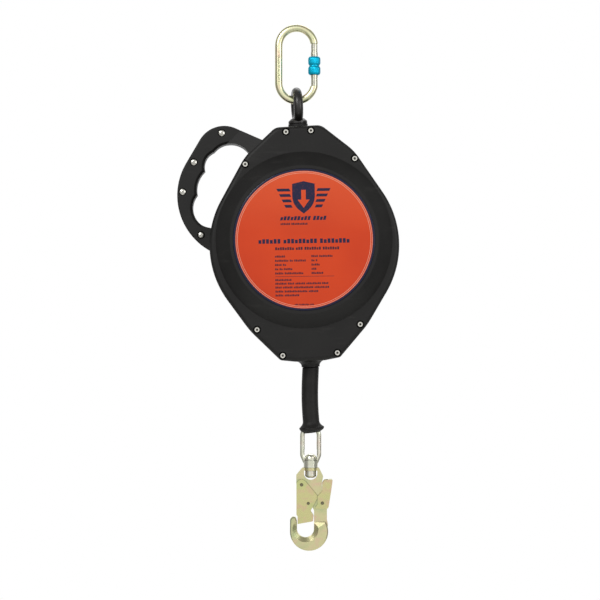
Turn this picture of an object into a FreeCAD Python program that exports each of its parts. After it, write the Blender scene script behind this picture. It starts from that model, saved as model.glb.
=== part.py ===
import FreeCAD, Part
import math
import os

# Self retracting lifeline, hanging from its karabiner. Millimetres.
# +X right, +Y away from the labelled face, +Z up.
# The origin is the inside of the karabiner's top bow, where the anchor carries it.

# ---------------------------------------------------------------- driving dimensions
# clearances
running = 0.05        # radial, shaft in a bearing or a pin in its hole
swing_gap = 0.3       # between moving pieces that would otherwise touch
seat_gap = 0.1        # between a screw, nut or cover and its pocket

# karabiner
bar_r = 5.0           # round bar of the bow
bow_r = 24.0          # centreline radius of both end bows
bow_pitch = 50.0      # between the centres of the two bows
gate_r = 4.6
gate_opening = 57.4   # height of the gap that the gate closes
gate_pin_r = 1.5
lock_sleeve_r = 8.3
lock_sleeve_length = 24.5
lock_sleeve_drop = 17.7   # top of the gap to the top of the sleeve, unlocked

# swivel eye
eye_hole_r = 12.5
eye_bar_r = 6.25
stem_r = 8.0
eye_turn = 6.0        # degrees, ring turned about its stem

# casing
hang_tilt = 3.0       # degrees, the handle's weight swings the casing's foot to the right
case_depth = 36.0     # parting plane to the flat rim
dome_depth = 55.0     # parting plane to the label face
dome_foot_r = 118.0
dome_top_r = 99.0
case_wall = 4.0
rim_round = 6.0
label_r = 94.2
label_thick = 0.8
handle_depth = 16.5
handle_wall = 3.5
collar_r = 13.1
nozzle_r = 12.3
case_screw_r = 2.0
case_head_r = 3.6
case_head_h = 5.0
head_room = 1.8       # open ring round each screw head
handle_head_r = 5.0
handle_head_h = 2.0

# drum, cable and frame
cable_r = 2.4
drum_half = 15.0      # half width of the winding
flange_thick = 2.0
flange_gap = 2.0      # drum flange to frame plate
plate_thick = 4.0
flange_r = 93.0
hub_r = 45.0
winding_r = 79.3      # full layers of cable
shaft_r = 10.0
shaft_half = 46.0
plate_r = 107.0

# brake and spring
ring_r = 60.0         # ratchet ring
ring_bore = 48.0      # root of its teeth
ring_teeth = 12
lining = 2.5
strip_thick = 1.0     # power spring strip
strip_width = 16.0

# end of the lifeline
bumper_r = 11.2
bumper_bore = 8.5
bumper_length = 87.4
bell_r = 16.8
ferrule_half = 12.5
thimble_r = 5.0       # inside radius
thimble_thick = 1.5

# link and hook
link_wire_r = 3.2
link_half = 11.15     # centreline half width
swivel_pin_r = 4.5
hook_plate = 4.0      # half thickness of the hook's shank
bowl_half = 7.0       # half thickness of the hook's bowl
cheek_thick = 1.5     # sheet of the gate and of the lock lever
cheek_gap = 0.2
rivet_r = 1.6
rivet_head_r = 2.3

# ---------------------------------------------------------------- shape helpers
Vec = FreeCAD.Vector
ORIGIN = Vec(0, 0, 0)
ALONG_X = Vec(1, 0, 0)
ALONG_Y = Vec(0, 1, 0)
ALONG_Z = Vec(0, 0, 1)
FAR = 400.0


def rod(radius, start, end):
    """Cylinder between two points."""
    start, end = Vec(*start), Vec(*end)
    return Part.makeCylinder(radius, (end - start).Length, start, end - start)


def pipe(outer, inner, start, end):
    return rod(outer, start, end).cut(rod(inner, start, end))


def disc_y(radius, y0, y1, x=0.0, z=0.0):
    """Cylinder along Y from y0 to y1."""
    return rod(radius, (x, y0, z), (x, y1, z))


def ring_y(outer, inner, y0, y1):
    return disc_y(outer, y0, y1).cut(disc_y(inner, min(y0, y1) - 1, max(y0, y1) + 1))


def block(low, high):
    low, high = Vec(*low), Vec(*high)
    size = high - low
    return Part.makeBox(size.x, size.y, size.z, low)


def rounded_path(points, radii, closed=False):
    """Straight runs joined by tangent arcs, one radius for each corner."""
    count = len(points)
    stops = []
    edges = []
    for i, corner in enumerate(points):
        inner = closed or 0 < i < count - 1
        if not inner or radii[i] == 0:
            stops.append((corner, corner))
            continue
        back = (points[i - 1] - corner).normalize()
        ahead = (points[(i + 1) % count] - corner).normalize()
        half_turn = (math.pi - back.getAngle(ahead)) / 2
        setback = radii[i] * math.tan(half_turn)
        middle = (back + ahead).normalize() * (radii[i] / math.cos(half_turn) - radii[i])
        stops.append((corner + back * setback, corner + ahead * setback))
        edges.append(Part.Arc(stops[-1][0], corner + middle, stops[-1][1]).toShape())
    last = count if closed else count - 1
    for i in range(last):
        start, end = stops[i][1], stops[(i + 1) % count][0]
        if (end - start).Length > 1e-6:
            edges.append(Part.LineSegment(start, end).toShape())
    return Part.Wire(Part.__sortEdges__(edges))


def outline(corners, y=0.0):
    """Closed wire in an XZ plane from (x, z, corner radius)."""
    return rounded_path([Vec(x, y, z) for x, z, r in corners], [r for x, z, r in corners], True)


def slab(corners, y0, y1):
    """Plate with an XZ outline, from y0 to y1."""
    return Part.Face(outline(corners, y0)).extrude(Vec(0, y1 - y0, 0))


def turned_z(profile):
    """Solid of revolution about Z from (radius, z) points."""
    points = [Vec(r, 0, z) for r, z in profile]
    wire = Part.makePolygon(points + points[:1])
    return Part.Face(wire).revolve(ORIGIN, ALONG_Z, 360)


def turned_y(profile):
    """Solid of revolution about Y from (radius, y) points."""
    points = [Vec(r, y, 0) for r, y in profile]
    wire = Part.makePolygon(points + points[:1])
    return Part.Face(wire).revolve(ORIGIN, ALONG_Y, 360)


def swept(path, radius):
    """Round bar along a wire."""
    start = path.OrderedVertexes[0].Point
    tangent = path.OrderedEdges[0].tangentAt(path.OrderedEdges[0].FirstParameter)
    if (path.OrderedEdges[0].valueAt(path.OrderedEdges[0].FirstParameter) - start).Length > 1e-6:
        tangent = path.OrderedEdges[0].tangentAt(path.OrderedEdges[0].LastParameter) * -1
    circle = Part.Wire(Part.makeCircle(radius, start, tangent))
    return path.makePipeShell([circle], True, False)


def coil_spring(coil_r, wire_r, length, turns):
    """Compression spring standing on the XY plane."""
    helix = Part.makeHelix(length / turns, length, coil_r)
    circle = Part.Wire(Part.makeCircle(wire_r, Vec(coil_r, 0, 0), ALONG_Y))
    return Part.Wire(helix).makePipeShell([circle], True, True)


def fused(shapes):
    return shapes[0].multiFuse(shapes[1:]).removeSplitter() if len(shapes) > 1 else shapes[0]


def placed(shape, x=0.0, y=0.0, z=0.0):
    moved = shape.copy()
    moved.translate(Vec(x, y, z))
    return moved


def turned_about(shape, centre, axis, degrees):
    moved = shape.copy()
    moved.rotate(centre, axis, degrees)
    return moved


def mirrored_x(corners):
    """A right-hand outline from top to bottom, with its mirror image."""
    return corners + [(-x, z, r) for x, z, r in reversed(corners)]


def on_ring(radius, degrees):
    """Point on a circle about the origin, as (x, z)."""
    return radius * math.cos(math.radians(degrees)), radius * math.sin(math.radians(degrees))


def hexagon(across_flats, y0, y1, x=0.0, z=0.0):
    corners = [on_ring(across_flats / math.sqrt(3), 60 * k) for k in range(6)]
    return slab([(x + dx, z + dz, 0) for dx, dz in corners], y0, y1)


nodes = {}

# ---------------------------------------------------------------- karabiner
top_bow_z = -(bow_r - bar_r)
low_bow_z = top_bow_z - bow_pitch
bow_inner_low = low_bow_z - (bow_r - bar_r)
gap_top = top_bow_z + 3.0
gap_foot = gap_top - gate_opening
hinge_z = gap_top - 5.5
gate_top = gap_top - swing_gap
gate_foot = gap_foot + swing_gap
tongue_half = 2.0
slot_half = tongue_half + 0.2
latch_z = gate_foot + 4.8
latch_r = 1.5

oval = Part.Wire([
    Part.Arc(Vec(bow_r, 0, top_bow_z), Vec(0, 0, top_bow_z + bow_r), Vec(-bow_r, 0, top_bow_z)).toShape(),
    Part.LineSegment(Vec(-bow_r, 0, top_bow_z), Vec(-bow_r, 0, low_bow_z)).toShape(),
    Part.Arc(Vec(-bow_r, 0, low_bow_z), Vec(0, 0, low_bow_z - bow_r), Vec(bow_r, 0, low_bow_z)).toShape(),
    Part.LineSegment(Vec(bow_r, 0, low_bow_z), Vec(bow_r, 0, top_bow_z)).toShape(),
])
bow = swept(oval, bar_r)
bow = bow.cut(block((bow_r - 2 * bar_r, -9, gap_foot), (bow_r + 2 * bar_r, 9, gap_top)))
# the hinge tongue under the upper end, rounded about the pin
tongue = fused([
    block((bow_r - 4, -tongue_half, hinge_z), (bow_r + 4, tongue_half, gap_top + 0.5)),
    disc_y(4.0, -tongue_half, tongue_half, bow_r, hinge_z),
])
# the nose above the lower end, a hook that the gate's cross pin latches under
nose = slab([
    (bow_r - 3.5, gap_foot - 0.6, 0), (bow_r + 4.4, gap_foot - 0.6, 0),
    (bow_r + 4.4, latch_z + 4.8, 1.0), (bow_r - 2.0, latch_z + 4.8, 1.0),
    (bow_r - 2.0, latch_z + 1.9, 0.5), (bow_r + 2.0, latch_z + 1.9, 0.5),
    (bow_r + 2.0, latch_z - 1.9, 0.5), (bow_r - 3.5, latch_z - 1.9, 0),
], -tongue_half, tongue_half)
bow = fused([bow, tongue, nose])
nodes["karabiner_bow"] = bow.cut(disc_y(gate_pin_r + running, -9, 9, bow_r, hinge_z))

gate = rod(gate_r, (bow_r, 0, gate_foot), (bow_r, 0, hinge_z))
gate_head = rod(gate_r, (bow_r, 0, hinge_z), (bow_r, 0, gate_top))
gate = fused([gate, gate_head.common(disc_y(gate_top - hinge_z, -9, 9, bow_r, hinge_z))])
gate_slots = [
    block((bow_r - 9, -slot_half, hinge_z - 6.5), (bow_r + 9, slot_half, gap_top + 1)),
    block((bow_r - 9, -slot_half, gate_foot - 1), (bow_r + 9, slot_half, latch_z + 6.3)),
]
plunger_r = slot_half - 0.1
plunger_top = hinge_z - 4.1
plunger_foot = plunger_top - 10.0
spring_foot = plunger_foot - 14.0
gate = gate.cut(fused(gate_slots))
gate = gate.cut(rod(plunger_r + seat_gap, (bow_r, 0, spring_foot), (bow_r, 0, hinge_z - 6)))
gate = gate.cut(disc_y(gate_pin_r + running, -9, 9, bow_r, hinge_z))
nodes["karabiner_gate"] = gate.cut(disc_y(latch_r, -9, 9, bow_r, latch_z))
nodes["karabiner_pins"] = Part.makeCompound([
    disc_y(gate_pin_r, -gate_r + 0.1, gate_r - 0.1, bow_r, hinge_z),
    disc_y(latch_r, -gate_r + 0.1, gate_r - 0.1, bow_r, latch_z),
])
gate_coil = coil_spring(plunger_r - 0.5, 0.4, plunger_foot - spring_foot - 1.0, 9)
nodes["karabiner_plunger_and_spring"] = Part.makeCompound([
    rod(plunger_r, (bow_r, 0, plunger_foot), (bow_r, 0, plunger_top)),
    placed(gate_coil, bow_r, 0, spring_foot + 0.5),
])

# the screw lock sleeve: two knurled bulges with a waist between
sleeve_top = gap_top - lock_sleeve_drop
sleeve_foot = sleeve_top - lock_sleeve_length
bulge = lock_sleeve_length / 2
sleeve_bore = gate_r + 0.5
sleeve_mouth = bar_r + 1.2
sleeve_profile = [(sleeve_bore, sleeve_top), (lock_sleeve_r - 1.8, sleeve_top)]
for part_top in (sleeve_top, sleeve_top - bulge):
    sleeve_profile += [
        (lock_sleeve_r, part_top - 1.8), (lock_sleeve_r, part_top - bulge + 2.4),
        (lock_sleeve_r - 1.6, part_top - bulge + 0.9), (lock_sleeve_r - 1.6, part_top - bulge),
    ]
sleeve_profile += [(sleeve_mouth, sleeve_foot), (sleeve_mouth, sleeve_foot + 8.0)]
sleeve_profile += [(sleeve_bore, sleeve_foot + 9.2)]
nodes["karabiner_lock_sleeve"] = placed(turned_z(sleeve_profile), bow_r)

# ---------------------------------------------------------------- casing frame
# Local frame of the casing: origin at the drum's axis, +Z' through the swivel stem.
eye_centre_z = 182.0
hang_point_z = eye_centre_z + eye_hole_r
exit_z = -170.5
tilt = math.radians(hang_tilt)
hang_world = Vec(0, 0, bow_inner_low + swing_gap)
up_local = Vec(-math.sin(tilt), 0, math.cos(tilt))
drum_world = hang_world - up_local * hang_point_z
line_x = (drum_world + up_local * exit_z).x
exit_world_z = (drum_world + up_local * exit_z).z


def hang(shape):
    """From the casing's local frame to its hanging place."""
    moved = shape.copy()
    moved.rotate(ORIGIN, ALONG_Y, -hang_tilt)
    moved.translate(drum_world)
    return moved


# ---------------------------------------------------------------- swivel eye
collar_top = 157.5
shoulder_foot = collar_top + swing_gap
block_top = 139.0
block_foot = 120.0
washer_foot = block_foot - 1.6
nut_foot = washer_foot - 10.0
stem_end = nut_foot - 4.0
thread_r = stem_r - 1.0

eye_ring = Part.makeTorus(eye_hole_r + eye_bar_r, eye_bar_r, Vec(0, 0, eye_centre_z), ALONG_X)
eye_ring = turned_about(eye_ring, ORIGIN, ALONG_Z, eye_turn)
eye_stem = turned_z([
    (0, stem_end), (thread_r - 1, stem_end), (thread_r, stem_end + 1), (thread_r, block_foot + 1),
    (stem_r, block_foot + 2), (stem_r, shoulder_foot), (collar_r - 1.2, shoulder_foot),
    (collar_r - 0.4, shoulder_foot + 0.8), (collar_r - 0.4, shoulder_foot + 3.6),
    (stem_r + 1, shoulder_foot + 7.0), (0, shoulder_foot + 7.0),
])
pin_z = nut_foot + 2.0
split_pin_r = 1.6
eye = fused([eye_stem, eye_ring]).cut(rod(split_pin_r + running, (-20, 0, pin_z), (20, 0, pin_z)))
nodes["swivel_eye"] = hang(eye)

nut_corner = 21.0 / math.sqrt(3)
nut_points = [Vec(*on_ring(nut_corner, 60 * k), nut_foot) for k in range(6)]
nut_face = Part.Face(Part.makePolygon(nut_points + nut_points[:1]))
nut = nut_face.extrude(Vec(0, 0, washer_foot - nut_foot - 0.1))
nut = nut.cut(rod(thread_r + running, (0, 0, nut_foot - 1), (0, 0, nut_foot + 11)))
for k in range(3):
    slot = block((-20, -2.0, nut_foot - 1), (20, 2.0, nut_foot + 4))
    nut = nut.cut(turned_about(slot, ORIGIN, ALONG_Z, 60 * k))
nodes["swivel_castle_nut"] = hang(nut)
ring_wire_r = 0.9
ring_mid_r = 2.1
ring_x = -(nut_corner + swing_gap + ring_mid_r + ring_wire_r)
split_pin = fused([
    rod(split_pin_r, (ring_x + ring_mid_r, 0, pin_z), (nut_corner + 1.4, 0, pin_z)),
    Part.makeTorus(ring_mid_r, ring_wire_r, Vec(ring_x, 0, pin_z), ALONG_Y),
])
nodes["swivel_split_pin"] = hang(split_pin)
washer = pipe(12.0, stem_r + running, (0, 0, washer_foot + 0.05), (0, 0, block_foot - 0.05))
nodes["swivel_washer"] = hang(washer)

# ---------------------------------------------------------------- casing shells
case_corners = mirrored_x([
    (30.5, 152.5, 16), (73, 116, 70), (150, -9, 125), (79, -117, 110), (40, -158.8, 7), (20, -161.8, 12),
])
case_screws = [
    (side * x, z) for x, z in ((16.7, 145.5), (73.2, 105.2), (69.0, -116.3), (36.5, -152.6))
    for side in (-1, 1)
]
handle_corners = [
    (-48, 136, 0), (-113.6, 171.3, 38), (-199.1, 42.1, 85), (-118, -13.8, 0), (-100, 0, 0), (-50, 110, 0),
]
finger_cusps = [(-72, 126), (-114.9, 124.9), (-128.5, 99.9), (-140.5, 68.2), (-128, 24)]
finger_bulges = [9.5, 5.5, 4.5, 12.9]
handle_screws = [(-103, 149.7), (-142.5, 112.5), (-159.6, 73.6), (-137.7, 14.4)]
pocket_r = case_head_r + head_room
cup_r = pocket_r + 1.3        # round the head's pocket
boss_r = case_screw_r + 3.5   # round the screw's shank
pocket_floor = case_depth - 7.0
handle_pocket_floor = handle_depth - handle_head_h + 0.3
handle_pocket_r = handle_head_r + 0.3


def arc_middle(start, end, bulge):
    """Middle of an arc that stands off its chord to the right, seen from start to end."""
    along = (end - start).normalize()
    return (start + end) * 0.5 + Vec(along.z, 0, -along.x) * bulge


cusps = [Vec(x, 0, z) for x, z in finger_cusps]
finger_middles = [arc_middle(*ends, bulge) for *ends, bulge in zip(cusps, cusps[1:], finger_bulges)]


def finger_wire():
    """The scalloped finger opening, four arcs, closed inside the casing."""
    arcs = zip(cusps, finger_middles, cusps[1:])
    edges = [Part.Arc(start, middle, end).toShape() for start, middle, end in arcs]
    inside = [cusps[-1], Vec(-105, 0, 18), Vec(-58, 0, 108), cusps[0]]
    edges += [Part.LineSegment(a, b).toShape() for a, b in zip(inside, inside[1:])]
    return Part.Wire(edges)


def edges_at_depth(shape, depth, keep):
    """Edges that lie at one depth and whose middle passes a test."""
    found = []
    for edge in shape.Edges:
        middle = edge.valueAt((edge.FirstParameter + edge.LastParameter) / 2)
        flat = all(abs(v.Point.y - depth) < 1e-4 for v in edge.Vertexes)
        if flat and abs(middle.y - depth) < 1e-4 and keep(middle):
            found.append(edge)
    return found


def everywhere(point):
    return True


seam = 0.7
# outer form of the rear half; the front half is its mirror image
body_half = slab(case_corners, 0, case_depth)
body_half = body_half.makeFillet(rim_round, edges_at_depth(body_half, case_depth, everywhere))
body_half = body_half.makeChamfer(seam, edges_at_depth(body_half, 0, everywhere))
dome = turned_y([
    (0, case_depth - 12), (dome_foot_r, case_depth - 12), (dome_foot_r, case_depth),
    (dome_top_r + 0.8, dome_depth - 0.9), (dome_top_r - 0.4, dome_depth), (0, dome_depth),
])
nozzle = turned_z([
    (0, -158), (21, -158), (20, -161.8), (15.5, -163.6), (13.0, -166.2), (nozzle_r, -168.2),
    (nozzle_r, exit_z), (0, exit_z),
])
collar = rod(collar_r, (0, 0, 145), (0, 0, collar_top))
rear_side = block((-FAR, 0, -FAR), (FAR, FAR, FAR))
nozzle = nozzle.common(rear_side)
collar = collar.common(rear_side)

handle_face = Part.Face(outline(handle_corners)).cut(Part.Face(finger_wire())).Faces[0]


def on_finger_edge(point):
    """True on the four finger arcs."""
    return any((point - middle - ALONG_Y * point.y).Length < 1.0 for middle in finger_middles)


def on_outer_edge(point):
    return point.x < -48 and not on_finger_edge(point) and (
        point.x < -142 or point.z > 138 or point.z < 18)


handle = handle_face.extrude(Vec(0, handle_depth, 0))
handle = handle.makeChamfer(3.2, edges_at_depth(handle, handle_depth, on_finger_edge))
handle = handle.makeFillet(2.0, edges_at_depth(handle, handle_depth, on_outer_edge))
handle = handle.makeChamfer(seam, edges_at_depth(handle, 0, on_outer_edge))


def under_ramp(foot, outward, lowered):
    """All that lies under the slope from the handle's face up to the casing's, at one root."""
    along = ALONG_Y.cross(outward)
    slope_line = [
        (-2 * rim_round, 0), (ramp_run - lowered, 0), (ramp_run - lowered, handle_depth - lowered),
        (-rim_round, case_depth - lowered), (-2 * rim_round, case_depth - lowered),
    ]
    points = [foot + outward * s + ALONG_Y * y - along * 60 for s, y in slope_line]
    return Part.Face(Part.makePolygon(points + points[:1])).extrude(along * 120)


ramp_run = 30.0
roots = [(Vec(-60, 0, 127.2), Vec(-0.652, 0, 0.759)), (Vec(-112, 0, 2), Vec(-0.97, 0, 0.243))]
handle_block = handle_face.extrude(Vec(0, case_depth, 0))
ramps = [under_ramp(foot, outward, 0).common(handle_block) for foot, outward in roots]
outer_half = fused([body_half, dome, nozzle, collar, handle] + ramps)

# what is hollow in one half
cavity = Part.Face(outline(case_corners)).makeOffset2D(-case_wall)
cavity = cavity.extrude(Vec(0, case_depth - case_wall, 0))
cavity = cavity.cut(block((-60, -1, -FAR), (60, FAR, -155)))
slope = (dome_foot_r - dome_top_r) / (dome_depth - case_depth)
foot_r = dome_foot_r - case_wall * 1.3
dome_room = turned_y([
    (0, case_depth - 13), (foot_r, case_depth - 13), (foot_r, case_depth - case_wall),
    (foot_r - slope * (dome_depth - case_depth), dome_depth - case_wall),
    (0, dome_depth - case_wall),
])
grip_cavity = handle_face.makeOffset2D(-handle_wall).extrude(Vec(0, handle_depth - handle_wall, 0))
for foot, outward in roots:
    room = handle_face.makeOffset2D(-handle_wall).extrude(Vec(0, case_depth, 0))
    grip_cavity = grip_cavity.fuse(room.common(under_ramp(foot, outward, handle_wall)))
grip_cavity = grip_cavity.cut(slab(case_corners, -1, case_depth + 1))
boss_rods = [disc_y(boss_r, 0, case_depth, x, z) for x, z in case_screws]
boss_rods += [disc_y(cup_r, pocket_floor - 3.0, case_depth, x, z) for x, z in case_screws]
handle_bosses = [disc_y(handle_pocket_r + 1.6, 0, handle_depth, x, z) for x, z in handle_screws]
post_angles = (50, 130, 217, 310)
plate_outer = drum_half + flange_thick + flange_gap + plate_thick
posts = [disc_y(6.0, plate_outer, dome_depth - 2, *on_ring(98, angle)) for angle in post_angles]
keepers = fused(boss_rods + handle_bosses + posts).common(outer_half)
shell = outer_half.cut(fused([cavity, dome_room])).cut(grip_cavity)
shell = shell.fuse(keepers).removeSplitter()
guide_r = 9.5
drillings = [disc_y(case_screw_r + 0.2, -1, FAR, x, z) for x, z in case_screws]
drillings += [disc_y(pocket_r, pocket_floor, FAR, x, z) for x, z in case_screws]
drillings += [disc_y(2.2, -1, FAR, x, z) for x, z in handle_screws]
drillings += [disc_y(handle_pocket_r, handle_pocket_floor, FAR, x, z) for x, z in handle_screws]
drillings += [
    rod(stem_r + 0.6, (0, 0, 140), (0, 0, 170)),
    rod(guide_r + seat_gap, (0, 0, -150), (0, 0, exit_z - 1)),
    disc_y(label_r + 0.4, dome_depth - 1.0, FAR),
]
shell = shell.cut(fused(drillings))
nodes["rear_shell"] = hang(shell)
nodes["front_shell"] = hang(shell.mirror(ORIGIN, ALONG_Y))

label_y = dome_depth - 1.0
nodes["front_label"] = hang(disc_y(label_r, -label_y, -label_y - label_thick))
nodes["rear_label"] = hang(disc_y(label_r, label_y, label_y + label_thick))


def socket_screw(x, z):
    """Cap head screw from the front, head on the pocket floor."""
    head = disc_y(case_head_r, -pocket_floor, -pocket_floor - case_head_h, x, z)
    head = head.makeChamfer(0.4, edges_at_depth(head, -pocket_floor - case_head_h, everywhere))
    shank = disc_y(case_screw_r, -pocket_floor, pocket_floor + 4.0, x, z)
    socket = hexagon(3.2, -pocket_floor - case_head_h - 1, -pocket_floor - case_head_h + 2.4, x, z)
    return head.fuse(shank).cut(socket)


def button_screw(x, z):
    """Low domed screw of the handle, from the front."""
    floor = -handle_pocket_floor
    ball_r = (handle_head_r ** 2 + handle_head_h ** 2) / (2 * handle_head_h)
    ball = Part.makeSphere(ball_r, Vec(x, floor + ball_r - handle_head_h, z))
    head = ball.common(disc_y(handle_head_r + 1, floor, floor - handle_head_h - 1, x, z))
    shank = disc_y(2.0, floor, handle_pocket_floor + 1.8, x, z)
    socket = hexagon(3.0, floor - handle_head_h - 1, floor - 0.9, x, z)
    return head.fuse(shank).cut(socket)


def nut_m(hole_r, flats, y0, y1, x, z):
    return hexagon(flats, y0, y1, x, z).cut(disc_y(hole_r + running, y0 - 1, y1 + 1, x, z))


nodes["case_screws"] = hang(Part.makeCompound([socket_screw(x, z) for x, z in case_screws]))
nodes["handle_screws"] = hang(Part.makeCompound([button_screw(x, z) for x, z in handle_screws]))
case_nuts = [nut_m(case_screw_r, 7.0, pocket_floor, pocket_floor + 4.0, x, z) for x, z in case_screws]
case_nuts += [
    nut_m(2.0, 7.0, handle_pocket_floor, handle_pocket_floor + 1.8, x, z) for x, z in handle_screws
]
nodes["case_nuts"] = hang(Part.makeCompound(case_nuts))

# the guide bush in the outlet, a trumpet that the cable bends over
guide_top = -149.0
guide_bore = cable_r + 1.6
trumpet_r = 27.0
trumpet_foot = -162.0
trumpet_rise = guide_top - trumpet_foot
trumpet_mouth = guide_bore + trumpet_r - math.sqrt(trumpet_r ** 2 - trumpet_rise ** 2)
half_rise = trumpet_rise * 0.55
half_mouth = guide_bore + trumpet_r - math.sqrt(trumpet_r ** 2 - half_rise ** 2)
trumpet_mid = Vec(half_mouth, 0, trumpet_foot + half_rise)
guide_edges = [
    Part.LineSegment(Vec(guide_bore, 0, exit_z), Vec(guide_bore, 0, trumpet_foot)).toShape(),
    Part.Arc(Vec(guide_bore, 0, trumpet_foot), trumpet_mid, Vec(trumpet_mouth, 0, guide_top)).toShape(),
]
guide_rest = [
    (trumpet_mouth, guide_top), (guide_r + 4.5, guide_top), (guide_r + 4.5, guide_top - 5.8),
    (guide_r, guide_top - 5.8), (guide_r, exit_z), (guide_bore, exit_z),
]
guide_rest = [Vec(r, 0, z) for r, z in guide_rest]
guide_edges += [Part.LineSegment(a, b).toShape() for a, b in zip(guide_rest, guide_rest[1:])]
guide = Part.Face(Part.Wire(guide_edges)).revolve(ORIGIN, ALONG_Z, 360)
nodes["cable_guide"] = hang(guide)

# ---------------------------------------------------------------- frame
plate_inner = drum_half + flange_thick + flange_gap
bush_r = shaft_r + 4.0
block_half = 24.0
block_bolt_r = 4.0
block_bolt_z = 130.0
spacer_r = 6.0
frame_bolt_r = 3.0
spacer_ring_r = flange_r + spacer_r + 1.0
spacer_places = [on_ring(spacer_ring_r, angle) for angle in (-20, 200, 235)]


def frame_plate(side):
    """Disc with a neck up to the swivel block."""
    y0, y1 = sorted((side * plate_inner, side * plate_outer))
    neck = slab([(-block_half, 60, 0), (block_half, 60, 0), (block_half, block_top, 4),
                 (-block_half, block_top, 4)], y0, y1)
    plate = disc_y(plate_r, y0, y1).fuse(neck).removeSplitter()
    holes = [disc_y(bush_r, -FAR, FAR)]
    holes += [disc_y(frame_bolt_r + seat_gap, -FAR, FAR, x, z) for x, z in spacer_places]
    holes += [disc_y(block_bolt_r + seat_gap, -FAR, FAR, x, block_bolt_z) for x in (-16, 16)]
    return plate.cut(fused(holes))


nodes["front_frame_plate"] = hang(frame_plate(-1))
nodes["rear_frame_plate"] = hang(frame_plate(1))

block_boss_top = 148.0
swivel_block = block((-block_half, -plate_inner, block_foot), (block_half, plate_inner, block_top))
swivel_block = swivel_block.fuse(rod(stem_r + 2.4, (0, 0, block_top), (0, 0, block_boss_top)))
swivel_block = swivel_block.cut(rod(stem_r + running, (0, 0, 100), (0, 0, 170)))
for x in (-16, 16):
    swivel_block = swivel_block.cut(disc_y(block_bolt_r + seat_gap, -FAR, FAR, x, block_bolt_z))
nodes["swivel_block"] = hang(swivel_block)


def through_bolt(radius, flats, x, z):
    """Hex bolt and nut across both frame plates."""
    head = hexagon(flats, -plate_outer, -plate_outer - 1.3 * radius, x, z)
    shank = disc_y(radius, -plate_outer, plate_outer + 1.4 * radius, x, z)
    nut = nut_m(radius, flats, plate_outer, plate_outer + 1.3 * radius, x, z)
    return [head.fuse(shank), nut]


frame_bolts = [piece for x, z in spacer_places for piece in through_bolt(frame_bolt_r, 10, x, z)]
frame_bolts += [piece for x in (-16, 16) for piece in through_bolt(block_bolt_r, 13, x, block_bolt_z)]
nodes["frame_bolts"] = hang(Part.makeCompound(frame_bolts))
spacers = []
for x, z in spacer_places:
    spacer = disc_y(spacer_r, -plate_inner, plate_inner, x, z)
    spacers.append(spacer.cut(disc_y(frame_bolt_r + seat_gap, -FAR, FAR, x, z)))
nodes["frame_spacers"] = hang(Part.makeCompound(spacers))


def bushing(side):
    """Flanged plain bearing pressed into a frame plate, flange on the drum's side."""
    sleeve = ring_y(bush_r, shaft_r + running, side * plate_inner, side * (plate_outer + 0.9))
    flange = ring_y(bush_r + 3, shaft_r + running, side * (plate_inner - 1.2), side * plate_inner)
    return sleeve.fuse(flange).removeSplitter()


nodes["shaft_bushings"] = hang(Part.makeCompound([bushing(-1), bushing(1)]))

# ---------------------------------------------------------------- drum
screw_ring_r = hub_r - 4.5
hub = fused([
    ring_y(hub_r, hub_r - 9, -drum_half, drum_half),
    ring_y(hub_r - 8, shaft_r + 8, -4, 4),
    ring_y(shaft_r + 10, shaft_r, -drum_half - 1, drum_half + 1),
])
drum_screw_places = [on_ring(screw_ring_r, 60 * k + 30) for k in range(6)]
screw_depth = 8.0
for x, z in drum_screw_places:
    for side in (-1, 1):
        hub = hub.cut(disc_y(2.0, side * drum_half, side * (drum_half - screw_depth), x, z))
key_half = 2.0
key_height = 2.0
key_fit = key_half + 0.02
key_way = block((-key_fit, -drum_half - 2, 0), (key_fit, drum_half + 2, shaft_r + key_height))
nodes["drum_hub"] = hang(hub.cut(key_way))


def drum_flange(side):
    inner = side * drum_half
    outer = side * (drum_half + flange_thick)
    flange = ring_y(flange_r, shaft_r + 10.2, inner, outer)
    for x, z in drum_screw_places:
        flange = flange.cut(disc_y(2.1, inner - side, outer + side, x, z))
        sink = Part.makeCone(2.1, 4.1, 2.0, Vec(x, inner, z), Vec(0, side, 0))
        flange = flange.cut(sink)
    return flange


nodes["front_drum_flange"] = hang(drum_flange(-1))
nodes["rear_drum_flange"] = hang(drum_flange(1))
drum_screws = []
for x, z in drum_screw_places:
    for side in (-1, 1):
        head = Part.makeCone(2.0, 3.9, 1.9, Vec(x, side * drum_half, z), Vec(0, side, 0))
        shank = disc_y(1.95, side * drum_half, side * (drum_half - screw_depth + 0.3), x, z)
        drum_screws.append(head.fuse(shank))
nodes["drum_screws"] = hang(Part.makeCompound(drum_screws))

run_r = winding_r + cable_r + seat_gap
winding = ring_y(winding_r, hub_r, -drum_half, drum_half)
winding = winding.fuse(ring_y(run_r + cable_r, hub_r, cable_r + seat_gap, drum_half)).removeSplitter()
nodes["wound_cable"] = hang(winding)

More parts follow.
